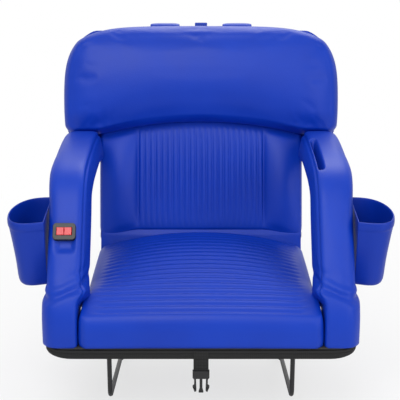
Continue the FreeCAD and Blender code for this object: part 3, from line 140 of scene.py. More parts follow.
def spread(line, count, closed=False):
    """The same line with its places spread evenly by length, linear between the given ones."""
    if closed:
        line = np.vstack([line, line[:1]])
    steps = np.linalg.norm(np.diff(line, axis=0), axis=1)
    along = np.concatenate([[0], np.cumsum(steps)])
    want = np.linspace(0, along[-1], count + 1)[:-1] if closed else np.linspace(0, along[-1], count)
    return np.stack([np.interp(want, along, line[:, axis]) for axis in range(line.shape[1])], 1)


def grid_faces(rows, cols, closed=False):
    """Quads between neighbouring places of a grid, wrapped across the columns where it is closed."""
    across = np.arange(cols if closed else cols - 1)
    after = (across + 1) % cols
    start = np.arange(rows - 1)[:, None] * cols
    return np.stack([start + across, start + after, start + cols + after, start + cols + across], -1).reshape(-1, 4)


def piece(name, points, faces):
    """A smooth shaded mesh from places in millimetres and a list of faces."""
    mesh = bpy.data.meshes.new(name)
    mesh.from_pydata((np.asarray(points) * MM).tolist(), [], [list(map(int, face)) for face in faces])
    mesh.polygons.foreach_set("use_smooth", np.ones(len(mesh.polygons), bool))
    mesh.update()
    made = bpy.data.objects.new(name, mesh)
    bpy.context.scene.collection.objects.link(made)
    return made


def places_of(made):
    """The places of a mesh as an array, in millimetres."""
    co = np.zeros(len(made.data.vertices) * 3, np.float32)
    made.data.vertices.foreach_get("co", co)
    return co.reshape(-1, 3).astype(float) / MM


def move_to(made, points):
    """Gives a mesh new places, in millimetres."""
    made.data.vertices.foreach_set("co", (np.asarray(points) * MM).astype(np.float32).ravel())
    made.data.update()


def sew(made, line_of, sharp=0.85):
    """Creases the edges whose two ends lie on the same sewn line; line_of is a number for each place, -1 for none."""
    ends = np.zeros(len(made.data.edges) * 2, np.int32)
    made.data.edges.foreach_get("vertices", ends)
    a, b = line_of[ends.reshape(-1, 2)].T
    crease = made.data.attributes.new("crease_edge", "FLOAT", "EDGE")
    crease.data.foreach_set("value", np.where((a == b) & (a >= 0), sharp, 0).astype(np.float32))


def stuffed(made, held, cap, pressure=3.0, frames=14):
    """Swells a cover with cloth simulation: held places stay, no place moves more than the cap, and the cloth
    modifier is taken off after its result is in the mesh."""
    before = places_of(made)
    group = made.vertex_groups.new(name="sewn")
    group.add(np.flatnonzero(held > 0.5).tolist(), 1.0, "REPLACE")
    cloth = made.modifiers.new("Stuffing", "CLOTH")
    cloth.settings.quality = 5
    cloth.settings.mass = 0.3
    cloth.settings.tension_stiffness = 30
    cloth.settings.compression_stiffness = 30
    cloth.settings.shear_stiffness = 15
    cloth.settings.bending_stiffness = 2
    cloth.settings.vertex_group_mass = "sewn"
    cloth.settings.use_pressure = True
    cloth.settings.uniform_pressure_force = pressure
    cloth.settings.effector_weights.gravity = 0
    cloth.point_cache.frame_end = frames
    scene = bpy.context.scene
    for number in range(1, frames + 1):
        scene.frame_set(number)
    shown = made.evaluated_get(bpy.context.evaluated_depsgraph_get()).to_mesh()
    after = np.zeros(len(shown.vertices) * 3, np.float32)
    shown.vertices.foreach_get("co", after)
    made.evaluated_get(bpy.context.evaluated_depsgraph_get()).to_mesh_clear()
    made.modifiers.remove(cloth)
    made.vertex_groups.remove(group)
    scene.frame_set(1)
    moved = after.reshape(-1, 3) / MM - before
    far = np.linalg.norm(moved, axis=1, keepdims=True)
    move_to(made, before + moved * np.minimum(1, cap / np.maximum(far, 1e-6)))


def finer(made):
    """One Catmull-Clark subdivision, off its limit surface, which is slow beside the large flat faces below."""
    step = made.modifiers.new("Smooth", "SUBSURF")
    step.levels = step.render_levels = 1
    step.use_limit_surface = False
    return made


# Places on the leaning back


def on_back(x, forward, up):
    """A place given across, in front of the back board and along the slope, turned by the lean at the hinge."""
    x, forward, up = np.broadcast_arrays(x, forward, up)
    return np.stack([x, HINGE_Y + up * sin(LEAN) - forward * cos(LEAN),
                     HINGE_Z + up * cos(LEAN) + forward * sin(LEAN)], -1)


# Cushions: a top sheet given as a height over an outline, rolled over at its edge and closed below


def border(rows, cols):
    """Numbers of the grid's outer places, once round: front row, right column, rear row, left column."""
    index = np.arange(rows * cols).reshape(rows, cols)
    return np.concatenate([index[0, :-1], index[:-1, -1], index[-1, :0:-1], index[:0:-1, 0]])


def cushion(name, across, along, height, roll, fall, floor, steps=6, waist=0.0, place=None, turned=False):
    """A closed cushion. The top is the grid (across, along, height). From its border the cover rolls outwards by
    roll * sin and down by fall * (1 - cos), then runs straight to the floor level, drawn in by a waist between.
    roll and fall may differ from place to place round the border. place moves it all, and turned is for a place that
    mirrors it. Returns the object, the number of top places and the share of the way down for each place, 0 on the
    top and 1 at the floor."""
    rows, cols = across.shape
    edge = border(rows, cols)
    top = np.stack([across, along, height], -1).reshape(-1, 3)
    rim = top[edge]
    ahead = np.roll(rim[:, :2], -1, 0) - np.roll(rim[:, :2], 1, 0)
    out = np.stack([ahead[:, 1], -ahead[:, 0]], 1)
    out = out / np.linalg.norm(out, axis=1, keepdims=True)
    roll = roll(rim, out) if callable(roll) else np.full(len(edge), roll)
    fall = fall(rim, out) if callable(fall) else np.full(len(edge), fall)
    turns = np.linspace(0, pi / 2, steps + 1)[1:]
    sides = [np.column_stack([rim[:, :2] + out * (roll * sin(t))[:, None], rim[:, 2] - fall * (1 - cos(t))])
             for t in turns]
    last = sides[-1]
    for share in (0.3, 0.65, 1.0):
        inward = out * (waist * sin(pi * share))
        sides.append(np.column_stack([last[:, :2] - inward, last[:, 2] + (floor - last[:, 2]) * share]))
    points = np.vstack([top, *sides])
    count = len(edge)
    loops = [edge] + [len(top) + count * n + np.arange(count) for n in range(len(sides))]
    strips = [np.stack([low, np.roll(low, -1), np.roll(high, -1), high], 1)[:, ::-1]
              for low, high in zip(loops, loops[1:])]
    faces = [*grid_faces(rows, cols), *np.vstack(strips)]
    faces.append(loops[-1][::-1])
    depth = np.concatenate([np.zeros(len(top)), np.repeat(np.arange(1, len(sides) + 1) / len(sides), count)])
    if place is not None:
        points = place(points[:, 0], points[:, 2], points[:, 1])
    if turned:
        faces = [face[::-1] for face in faces]
    made = piece(name, points, faces)
    return made, len(top), depth


def seat_crown(y):
    """Height of the seat along its middle: the crown less a square towards the front and a cube towards the rear."""
    front = CROWN - 28 * np.clip((CROWN_Y - y) / 242, 0, 1.2) ** 2
    rear = CROWN - 13 * np.clip((y - CROWN_Y) / 116, 0, 1.1) ** 3
    return np.where(y < CROWN_Y, front, rear)


def beside_foot(y):
    """1 where the seat lies beside the foot of an arm, fading to 0 behind it."""
    return 1 - smooth((y + 158) / 44)


def make_seat():
    """Seat cushion: arched across, crowned along, with sewn cross channels that fade out at the sides. Towards the
    front it is level across and square at its sides, where the feet of the arms are sewn on."""
    y = np.arange(FIRST_CHANNEL - 4.5, 156.1, CHANNEL_PITCH / 4)
    a = np.linspace(-1, 1, 65)
    x = np.outer(HALF - SEAT_ROLL - 1 + 12 * beside_foot(y), a)
    pull = 3.0 * np.sin(pi * (y - SEAT_FRONT) / (SEAT_REAR - SEAT_FRONT))
    x = x * (1 - pull / HALF)[:, None]
    along = np.repeat(y[:, None], len(a), 1)
    edge = SEAT_EDGE + 8 * np.sin(pi * np.clip((y - FIRST_CHANNEL) / 324, 0, 1))
    edge = edge + (seat_crown(y) - 5 - edge) * (1 - smooth((y + 150) / 110))
    arch = 1 - np.abs(x / HALF) ** 2.2
    z = edge[:, None] + (seat_crown(y) - edge)[:, None] * arch
    row = np.arange(len(y))
    phase = (row - 1) % 4
    sewn = (phase == 0) & (row >= 1) & (row <= 4 * CHANNELS)
    window = 1 - smooth((np.abs(x) - 160) / 24)
    dip = np.where(sewn, -SEAM_DIP, np.where(phase == 2, 0.5, -0.2))
    dip = np.where((row < 1) | (row > 4 * CHANNELS), 0, dip)
    z = z + dip[:, None] * window

    def roll(rim, out):
        return SEAT_ROLL - 12 * np.abs(out[:, 0]) * beside_foot(rim[:, 1])

    def fall(rim, out):
        return 20 + 16 * np.clip(-out[:, 1], 0, 1) ** 2 + 6 * np.clip(out[:, 1], 0, 1)

    made, count, depth = cushion("seat_cushion", x, along, z, roll, fall, BASE_TOP + 0.3, waist=-1.5)
    line = np.full(len(depth), -1)
    rows_of = np.repeat(row, len(a))
    on_line = np.repeat(sewn, len(a)) & (window.ravel() > 0.15)
    line[:count][on_line] = rows_of[on_line]
    sew(made, line)
    held = np.where(depth > 0.7, 1.0, 0.0)
    held[:count][on_line] = 1.0
    stuffed(made, held, 3.5)
    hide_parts("seat_cover", "seat_foam")
    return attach(finer(made), "seat")


def bolster_low(x):
    """Lower edge of the bolster: an arch over the back pad, level over the arms, lifted at the very ends."""
    inner = np.minimum(1, np.abs(x) / HALF)
    outer = np.clip((np.abs(x) - BOLSTER_HALF + 26) / 26, 0, 1)
    return BOLSTER_LOW + 26 * (1 - inner ** 2) + 4 * outer ** 3


def make_back():
    """Back pad: upright sewn ribs in the middle, a seam at each side of them and a swollen plain panel outside. Its
    upper edge goes under the bolster, and its lower edge hangs in front of the hinges."""
    ribs = np.linspace(-RIB_HALF, RIB_HALF, 4 * RIBS + 1)
    outer = RIB_HALF + (HALF - 9.5 - RIB_HALF) * np.linspace(0, 1, 12)[1:]
    x_line = np.concatenate([-outer[::-1], ribs, outer])
    b = np.linspace(0, 1, 27)
    top = bolster_low(x_line) - 5
    low = 16 - 10 * smooth((np.abs(x_line) - 125) / 55)
    up = low + np.outer(b, top - low)
    x = np.repeat(x_line[None, :], len(b), 0)
    swell = np.sin(pi * b).clip(0) ** 0.55
    share = np.clip((np.abs(x_line) - RIB_HALF) / (HALF - RIB_HALF), 0, 1)
    side = 17 + 15 * np.sin(pi * np.clip(share * 0.92 + 0.05, 0, 1))
    thick = np.where(np.abs(x_line) <= RIB_HALF + 0.01, 22.0, side)
    col = np.arange(len(x_line)) - len(outer)
    inside = (col >= 0) & (col <= 4 * RIBS)
    sewn = inside & (col % 4 == 0)
    dip = np.where(sewn, -SEAM_DIP, np.where(inside & (col % 4 == 2), 0.6, 0))
    seam = inside & ((col == 0) | (col == 4 * RIBS))
    dip = np.where(seam, -7.0, dip)
    base = 11 + 7 * (1 - smooth(b / 0.5))
    height = base[:, None] + swell[:, None] * (thick - base[:, None] + dip)

    def fall(rim, out):
        return rim[:, 2] - 3

    made, count, depth = cushion("back_cushion", x, up, height, 10, fall, 0.4, place=on_back)
    line = np.full(len(depth), -1)
    cols_of = np.tile(np.arange(len(x_line)), len(b))
    on_line = np.tile(sewn, len(b))
    line[:count][on_line] = cols_of[on_line]
    sew(made, line)
    held = np.where(depth > 0.7, 1.0, 0.0)
    held[:count][on_line] = 1.0
    stuffed(made, held, 3.0)
    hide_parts("back_cover", "back_foam")
    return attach(finer(made), "backrest")


def make_bolster():
    """Top bolster: full in front, rolled over its top and ends, with puckers along the seam of its lower corners."""
    a, b = np.meshgrid(np.linspace(-1, 1, 97), np.linspace(0, 1, 37))
    wide = BOLSTER_HALF - 20
    x = wide * a * (1 - 0.085 * b ** 6) * (1 - 0.01 * (1 - b) ** 8)
    low = bolster_low(x) + 12
    high = BOLSTER_TOP - 20 - 24 * np.abs(a) ** 6
    up = low + (high - low) * b
    share = (up - bolster_low(x)) / (BOLSTER_TOP - bolster_low(x))
    stops = [0.0, 0.06, 0.17, 0.3, 0.42, 0.55, 0.68, 0.8, 0.88, 0.95, 1.0]
    full = [0.55, 0.74, 0.92, 0.985, 1.0, 0.985, 0.94, 0.85, 0.74, 0.55, 0.3]
    profile = np.interp(share, stops, full)
    kernel = np.array([1, 4, 6, 4, 1]) / 16
    padded = np.pad(profile, ((2, 2), (0, 0)), mode="edge")
    profile = sum(weight * padded[n:n + len(profile)] for n, weight in enumerate(kernel))
    end = np.clip((np.abs(x) - BOLSTER_HALF + 61.5) / 60, 0, 1)
    thick = 22 + 44 * np.sqrt(1 - end ** 2)
    corner = np.exp(-((np.abs(x) - 212) / 38) ** 2)
    pucker = 1.5 * np.sin(2 * pi * x / 19) * corner * np.exp(-share / 0.1)
    height = thick * profile + pucker

    def roll(rim, out):
        return 20 - 8 * np.clip(-out[:, 1], 0, 1) ** 2

    def fall(rim, out):
        return rim[:, 2] - 9

    made, _, depth = cushion("top_bolster", x, up, height, roll, fall, 0.4, steps=8, place=on_back)
    held = np.where(depth > 0.8, 1.0, 0.0)
    stuffed(made, held, 4.0)
    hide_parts("bolster_cover", "bolster_foam")
    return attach(finer(made), "backrest")


# Arms and straps: a section carried along a path in the plane across X


def box_section(count, sharp=5.0):
    """A rounded square from -1 to 1, |p|^n + |q|^n = 1, its places spread evenly by length."""
    turn = np.linspace(0, 2 * pi, 1600, endpoint=False)
    c, s = np.cos(turn), np.sin(turn)
    line = np.stack([np.sign(c) * np.abs(c) ** (2 / sharp), np.sign(s) * np.abs(s) ** (2 / sharp)], 1)
    return spread(line, count, closed=True)


def swept(path, inner, outer, thick, section):
    """Grid of sections square to a path of (y, z): p runs across X from inner to outer, q along the path's normal."""
    way = np.gradient(path, axis=0)
    way = way / np.linalg.norm(way, axis=1, keepdims=True)
    normal = np.stack([-way[:, 1], way[:, 0]], 1)
    mid, half = (inner + outer) / 2, (outer - inner) / 2
    x = mid[:, None] + half[:, None] * section[None, :, 0]
    off = (thick / 2)[:, None] * section[None, :, 1]
    y = path[:, :1] + normal[:, :1] * off
    z = path[:, 1:] + normal[:, 1:] * off
    return np.stack([x, y, z], -1)


def ring_piece(name, rings):
    """A closed skin over a stack of rings, its ends closed by a face each."""
    rows, cols, _ = rings.shape
    faces = [*grid_faces(rows, cols, closed=True)]
    faces.append(np.arange(cols)[::-1])
    faces.append((rows - 1) * cols + np.arange(cols))
    return piece(name, rings.reshape(-1, 3), faces)


ARM_PATH = [(-168, 17.6), (-168, 34), (-168, 52), (-163, 76), (-132, 118), (-100, 166), (-66, 219), (-38, 250),
            (6, 259), (60, 263), (125, 268), (178, 268), (218, 260), (242, 247), (254, 240)]


def make_arm(side):
    """Padded arm: upright from its foot, leaning back to the elbow, then level to the side of the back. The front
    face meets the inner face in a sewn line, and the cover is pinched in where it bends above the foot. The right
    arm's cover goes down into a slot for a phone beside that line, and the left arm's has a shallow hollow just below
    the heat control."""
    path = spline(ARM_PATH, ARM_RINGS)
    height = path[:, 1]
    run = np.concatenate([[0], np.cumsum(np.linalg.norm(np.diff(path, axis=0), axis=1))])
    foot = 1 - smooth((height - 84) / 34)
    level = smooth((run - 210) / 90)
    tail = smooth((path[:, 0] - 190) / 36)
    lap = smooth((height - 76) / 22) * (1 - tail)
    inner = ARM_INSIDE - ARM_LAP * lap
    outer = ARM_OUTSIDE + 7.5 * foot + 6.5 * level
    thick = ARM_THICK + 13 * foot - 3 * tail
    section = box_section(ARM_PLACES, 4.6)
    ends = np.minimum(run, run[-1] - run)
    close = 1 - 0.10 * (1 - smooth(ends / 9)) * (run > 100)
    mid = (inner + outer) / 2
    inner, outer = mid + (inner - mid) * close, mid + (outer - mid) * close
    rings = swept(path, inner, outer, thick * close, section)
    skew = np.clip(-section[:, 0], 0, 1) * (section[:, 1] + 1) / 2
    rings[..., 0] += 11 * skew[None, :] * lap[:, None]
    sharp = foot[:, None] * np.clip(-1.4 * section[:, 0], 0, 1)
    squared = swept(path, inner, outer, thick * close, box_section(ARM_PLACES, 12))
    rings += (squared - rings) * sharp[..., None]
    rounded = 0.26 * np.clip(section[:, 0], 0, 1) ** 2 * np.clip(section[:, 1], 0, 1) ** 2
    rings = rings + (rings.mean(1, keepdims=True) - rings) * (rounded[None, :] * foot[:, None])[..., None]
    cols = len(section)
    corner = np.argmin(np.abs(section[:, 0] + 0.93) + np.abs(section[:, 1] - 0.80))
    front = smooth((section[:, 1] + 0.2) / 0.6)
    outside = smooth((section[:, 0] + 1.2) / 2.2)
    crease_at = ARM_CREASE_Z - 20 * outside
    fold = np.exp(-((rings[..., 2] - crease_at[None, :]) / 5.0) ** 2)
    second = 0.35 * np.exp(-((rings[..., 2] - crease_at[None, :] - 17) / 5.5) ** 2) * front[None, :]
    middle = rings.mean(1, keepdims=True)
    rings = rings + (middle - rings) * (0.2 * fold * (0.35 + 0.65 * front[None, :]) + 0.16 * second)[..., None]
    seam = np.zeros(cols)
    seam[corner] = 1
    rings = rings + (middle - rings) * (0.075 * seam[None, :] * (run > 70)[:, None])[..., None]
    slot = np.zeros(rings.shape[:2], bool)
    if side < 0:
        wide = smooth((HOLLOW_HALF_WIDE - np.abs(rings[..., 0] - HOLLOW_X)) / 6)
        high = smooth((HOLLOW_HALF_HIGH - np.abs(rings[..., 2] - HOLLOW_Z)) / 6)
        hollow = wide * high * (section[:, 1] > 0.5)
        rings = rings + (middle - rings) * (0.2 * hollow)[..., None]
        slot = hollow > 0.3
    else:
        beside = np.argsort(np.abs(section[:, 0] + 0.62) + 9 * (section[:, 1] < 0))[:2]
        slot[:, beside] = ((path[:, 0] > PHONE_SLOT_FRONT) & (path[:, 0] < PHONE_SLOT_REAR))[:, None]
        rings[..., 2] -= PHONE_SLOT_DEEP * slot
    rings[..., 0] *= side
    if side > 0:
        rings, slot = rings[:, ::-1], slot[:, ::-1]
    made = ring_piece("left_arm" if side < 0 else "right_arm", rings)
    line = np.full(rings.shape[:2], -1)
    line[:, (cols - 1 - corner) if side > 0 else corner] = 1
    sew(made, line.ravel(), 0.95)
    held = np.zeros(rings.shape[:2])
    held[(run < 14) | (run > run[-1] - 14)] = 1
    held[line > 0] = 1
    pinch = np.abs(fold) > 0.75
    held[pinch[:, ::-1] if side > 0 else pinch] = 1
    held[slot] = 1
    stuffed(made, held.ravel(), 3.0)
    return made


arms = {}


def make_arms():
    """Both arms, kept by name until their material is made."""
    for side, name in ((-1, "left"), (1, "right")):
        made = make_arm(side)
        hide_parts(f"{name}_arm_cover", f"{name}_arm_foam", *(["phone_sleeve"] if side > 0 else []))
        finer(made)
        arms[name] = made


# Materials


def linear(code):
    """Linear colour of an sRGB hex value: c / 12.92 up to 0.04045, and ((c + 0.055) / 1.055)^2.4 above."""
    c = np.array([int(code[n:n + 2], 16) for n in (1, 3, 5)]) / 255
    return (*np.where(c <= 0.04045, c / 12.92, ((c + 0.055) / 1.055) ** 2.4), 1.0)


def add(tree, kind, inputs=None, **settings):
    """One node with its settings; an input is a value, or a socket to link from."""
    made = tree.nodes.new(kind)
    for field, value in settings.items():
        setattr(made, field, value)
    for name, value in (inputs or {}).items():
        if isinstance(value, bpy.types.NodeSocket):
            tree.links.new(value, made.inputs[name])
        else:
            made.inputs[name].default_value = value
    return made


def finish_of(name, code, **shader):
    """A material with its main shader; returns the material, its node tree and the shader node."""
    made = bpy.data.materials.new(name)
    made.use_nodes = True
    made.diffuse_color = linear(code)
    tree = made.node_tree
    main = tree.nodes["Principled BSDF"]
    main.inputs["Base Color"].default_value = linear(code)
    for field, value in shader.items():
        main.inputs[field].default_value = value
    return made, tree, main


def coloured(tree, main, factor, low, high):
    """Base colour that runs from one hex colour to another with a factor."""
    ramp = add(tree, "ShaderNodeValToRGB", {"Fac": factor})
    ramp.color_ramp.elements[0].color = linear(low)
    ramp.color_ramp.elements[1].color = linear(high)
    tree.links.new(ramp.outputs["Color"], main.inputs["Base Color"])
    return ramp


def leatherette(name, dark, light):
    """Embossed PU leatherette: a shallow pebble grain about 1.4 mm across, drawn at 2.6 mm so that it shows, slow
    changes of tone over the hand-stretched cover, and a satin shine that changes with them."""
    made, tree, main = finish_of(name, light, **{"Specular IOR Level": 0.28})
    place = add(tree, "ShaderNodeTexCoord").outputs["Object"]
    pebble = add(tree, "ShaderNodeTexVoronoi", {"Vector": place, "Scale": 1 / 0.0026}, feature="F1")
    slow = add(tree, "ShaderNodeTexNoise", {"Vector": place, "Scale": 1 / 0.12, "Detail": 2.0, "Roughness": 0.6})
    coloured(tree, main, slow.outputs["Fac"], dark, light)
    shine = add(tree, "ShaderNodeMapRange", {"Value": slow.outputs["Fac"], "To Min": 0.36, "To Max": 0.52})
    tree.links.new(shine.outputs["Result"], main.inputs["Roughness"])
    bump = add(tree, "ShaderNodeBump", {"Height": pebble.outputs["Distance"], "Strength": 0.16, "Distance": 0.0006})
    tree.links.new(bump.outputs["Normal"], main.inputs["Normal"])
    return made


def woven(name, dark, light, pitch, strength=0.5):
    """Plain weave: two crossed sets of threads at a pitch in metres, lighter on the crowns, with a dry finish."""
    made, tree, main = finish_of(name, light, Roughness=0.85)
    place = add(tree, "ShaderNodeTexCoord").outputs["Object"]
    warp = add(tree, "ShaderNodeTexWave", {"Vector": place, "Scale": 0.31 / pitch / 2}, bands_direction="X")
    split = add(tree, "ShaderNodeMapping", {"Vector": place, "Rotation": (0.6, 0.0, 0.0)})
    weft = add(tree, "ShaderNodeTexWave", {"Vector": split.outputs["Vector"], "Scale": 0.31 / pitch / 2},
               bands_direction="Z")
    cross = add(tree, "ShaderNodeMath", {0: warp.outputs["Fac"], 1: weft.outputs["Fac"]}, operation="MULTIPLY")
    coloured(tree, main, cross.outputs["Value"], dark, light)
    bump = add(tree, "ShaderNodeBump", {"Height": cross.outputs["Value"], "Strength": strength, "Distance": 0.0004})
    tree.links.new(bump.outputs["Normal"], main.inputs["Normal"])
    return made


def moulded(name, dark, light, rough, grain=0.0009):
    """Moulded or coated surface: a fine spark-eroded texture, slightly uneven in tone and shine."""
    made, tree, main = finish_of(name, light, Roughness=rough)
    place = add(tree, "ShaderNodeTexCoord").outputs["Object"]
    speck = add(tree, "ShaderNodeTexNoise", {"Vector": place, "Scale": 1 / grain, "Detail": 2.0})
    slow = add(tree, "ShaderNodeTexNoise", {"Vector": place, "Scale": 1 / 0.03, "Detail": 3.0})
    coloured(tree, main, slow.outputs["Fac"], dark, light)
    shine = add(tree, "ShaderNodeMapRange", {"Value": speck.outputs["Fac"], "To Min": rough - 0.08,
                                             "To Max": rough + 0.08})
    tree.links.new(shine.outputs["Result"], main.inputs["Roughness"])
    bump = add(tree, "ShaderNodeBump", {"Height": speck.outputs["Fac"], "Strength": 0.12, "Distance": 0.0003})
    tree.links.new(bump.outputs["Normal"], main.inputs["Normal"])
    return made


def metal(name, code, rough):
    """Zinc plated steel: a grey metal with faint drawn streaks along X and patchy shine."""
    made, tree, main = finish_of(name, code, Metallic=1.0, Roughness=rough)
    place = add(tree, "ShaderNodeTexCoord").outputs["Object"]
    drawn = add(tree, "ShaderNodeMapping", {"Vector": place, "Scale": (60.0, 1500.0, 1500.0)})
    streak = add(tree, "ShaderNodeTexNoise", {"Vector": drawn.outputs["Vector"], "Scale": 1.0, "Detail": 2.0})
    shine = add(tree, "ShaderNodeMapRange", {"Value": streak.outputs["Fac"], "To Min": rough - 0.1,
                                             "To Max": rough + 0.12})
    tree.links.new(shine.outputs["Result"], main.inputs["Roughness"])
    return made


blue_cover = leatherette("PU leatherette blue", "#0232A8", "#053EBE")
blue_pocket = leatherette("PU leatherette blue pocket", "#022C9C", "#0438B0")
black_canvas = woven("polyester canvas black", "#0A0A0B", "#1B1B1D", 0.0016)
black_webbing = woven("polypropylene webbing black", "#0B0B0C", "#202022", 0.0022, 0.8)
blue_webbing = woven("polypropylene webbing blue", "#1A389C", "#274CC0", 0.0022, 0.8)
black_steel = moulded("powder coated steel black", "#0E0E0F", "#19191B", 0.38)
black_plastic = moulded("acetal black", "#101011", "#1C1C1E", 0.42)
dark_board = moulded("polypropylene board", "#1E1E20", "#2A2A2C", 0.6)
red_plastic = moulded("polycarbonate red", "#C81E26", "#E0303A", 0.24)
rubber = moulded("rubber black", "#0D0D0D", "#181818", 0.7)
zinc = metal("zinc plated steel", "#B9BCBF", 0.32)
circuit = moulded("circuit board green", "#0D4A24", "#136534", 0.4)
heat_cloth = woven("non-woven heating mat", "#C9C6BC", "#E2E0D8", 0.002)
wire_cover = moulded("silicone wire red", "#8E1812", "#A8231B", 0.5)
foam = moulded("polyurethane foam", "#C9C2AC", "#DCD6C2", 0.9, 0.002)

LOOKS = {
    "blue_leatherette": blue_cover, "black_cloth": black_canvas, "foam": foam, "steel_tube": black_steel,
    "zinc_steel": zinc, "board": dark_board, "black_plastic": black_plastic, "red_plastic": red_plastic,
    "webbing": black_webbing, "blue_webbing": blue_webbing, "rubber": rubber, "heating": heat_cloth,
    "wire": wire_cover, "circuit": circuit,
}


def wear(made, look):
    """Gives a piece its material."""
    made.data.materials.clear()
    made.data.materials.append(look)


for row in frame["record"]["subparts"]:
    wear(frame["nodes"][row["node"]], LOOKS[row["material_slot"]])

# The soft pieces

wear(make_seat(), blue_cover)
wear(make_back(), blue_cover)
wear(make_bolster(), blue_cover)
make_arms()
for made in arms.values():
    wear(made, blue_cover)
    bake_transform(made)

# Pockets, straps, underside and the other sewn pieces


def bent(points, radii, closed=False):
    """Straight runs through places in a plane, joined by arcs: each is turned about the corner's own centre."""
    points = np.asarray(points, float)
    order = np.vstack([points[-1:], points, points[:1]]) if closed else points
    radii = np.broadcast_to(radii, len(order) - 2)
    line = [] if closed else [points[:1]]
    for before, corner, after, radius in zip(order, order[1:], order[2:], radii):
        into = (corner - before) / np.linalg.norm(corner - before)
        out = (after - corner) / np.linalg.norm(after - corner)
        half = np.arccos(np.clip(into @ out, -1, 1)) / 2
        centre = corner + (out - into) / np.linalg.norm(out - into) * radius / np.cos(half)
        start = corner - into * radius * np.tan(half) - centre
        side = np.sign(into[0] * out[1] - into[1] * out[0])
        turn = side * 2 * half * np.linspace(0, 1, 11)[:, None]
        line.append(centre + start * np.cos(turn) + np.array([-start[1], start[0]]) * np.sin(turn))
    return np.vstack(line if closed else [*line, points[-1:]])


def strip(name, path, middle, width, thick, count):
    """A flat strap: a rounded section carried along a line of (y, z)."""
    path = spread(path, count)
    inner, outer, deep = (np.full(count, value) for value in (middle - width / 2, middle + width / 2, thick))
    return ring_piece(name, swept(path, inner, outer, deep, box_section(28, 4.0)[::-1]))


def behind(points, bend):
    """A bent line behind the back, given as distance behind the board and height along the slope, as (y, z)."""
    line = bent(points, bend)
    return on_back(0, -line[:, 0], line[:, 1])[:, 1:]


def make_straps():
    """Two padded shoulder straps and a webbing loop behind the back, a sewn tab and the hanging front strap."""
    padded = [(26.8, 332), (26.8, 430), (51.8, 430), (51.8, 64), (26.8, 64), (26.8, 124)]
    for side, name in ((-1, "left"), (1, "right")):
        made = strip(f"{name}_shoulder_pad", behind(padded, 12.3), side * 74.0, 60.0, 9.0, 170)
        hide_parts(f"{name}_shoulder_strap")
        wear(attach(finer(made), "backrest"), blue_cover)
    line = behind([(23.1, 368), (23.1, 433), (35.1, 433), (35.1, 343)], 5.8)
    loop = strip("buckle_loop", line, 0.0, WEBBING_WIDE, WEBBING_THICK, 90)
    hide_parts("rear_strap")
    wear(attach(loop, "backrest"), blue_webbing)
    line = np.array([(-207.1, 2.6), (-207.1, -24.0)])
    hanging = strip("hanging_strap", line, 0.0, WEBBING_WIDE, WEBBING_THICK, 20)
    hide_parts("front_strap")
    wear(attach(hanging, "front_strap"), black_webbing)
    line = np.array([(-207.1, 16.4), (-207.1, 3.2)])
    tab = strip("sewn_tab", line, 0.0, WEBBING_WIDE, WEBBING_THICK, 20)
    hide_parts("strap_tab")
    wear(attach(tab, "seat"), black_webbing)


def make_pocket(side):
    """Cup pocket: level rings, flat at the arm and bowed outside as sin^0.8 with a fuller front, wider towards the
    rim, turned in over a hem and down again inside. The rim is higher at its rear, and the wall has soft dents."""
    outside = np.array([(0.05, 0), (0.45, 0), (0.72, 0.6), (0.8, 4), (0.84, 14), (0.88, 40), (0.94, 80), (0.985, 105),
                        (0.992, 108), (1.012, 110), (1.02, 116), (1.015, 121), (1.0, 123.5)])
    inside = np.array([(0.975, 123.5), (0.955, 120), (0.94, 105), (0.9, 80), (0.84, 40), (0.8, 14), (0.7, 4),
                       (0.05, 3)])
    rows = np.vstack([outside, inside])
    turn = np.linspace(0, 2 * pi, 72, endpoint=False)
    bow = np.maximum(np.sin(turn), 0) ** 0.8
    wall = np.where(np.arange(len(rows)) < len(outside), 0.0, 2.2)
    scale, up = rows[:, 0, None], rows[:, 1, None]
    mid_wall = np.clip(np.sin(turn), 0, 1) * np.sin(pi * np.clip(up / POCKET_HIGH, 0, 1))
    dent = 2.2 * np.sin(2 * turn + up / 38) * mid_wall
    x = POCKET_X + wall[:, None] + (POCKET_BULGE * scale - wall[:, None]) * bow + dent
    front = np.clip(np.sin(turn), 0, 1) * (1 - np.cos(turn)) / 2
    y = POCKET_Y + scale * (56.0 * np.cos(turn) - 36.0 * front)
    z = POCKET_LOW + up + 5.0 * np.cos(turn) * smooth(up / POCKET_HIGH)
    rings = np.stack([side * x, y, np.broadcast_to(z, x.shape)], -1)
    made = ring_piece("left_pocket" if side < 0 else "right_pocket", rings[:, ::-1] if side > 0 else rings)
    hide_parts(f"{'left' if side < 0 else 'right'}_cup_pocket")
    wear(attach(finer(made), "seat"), blue_pocket)


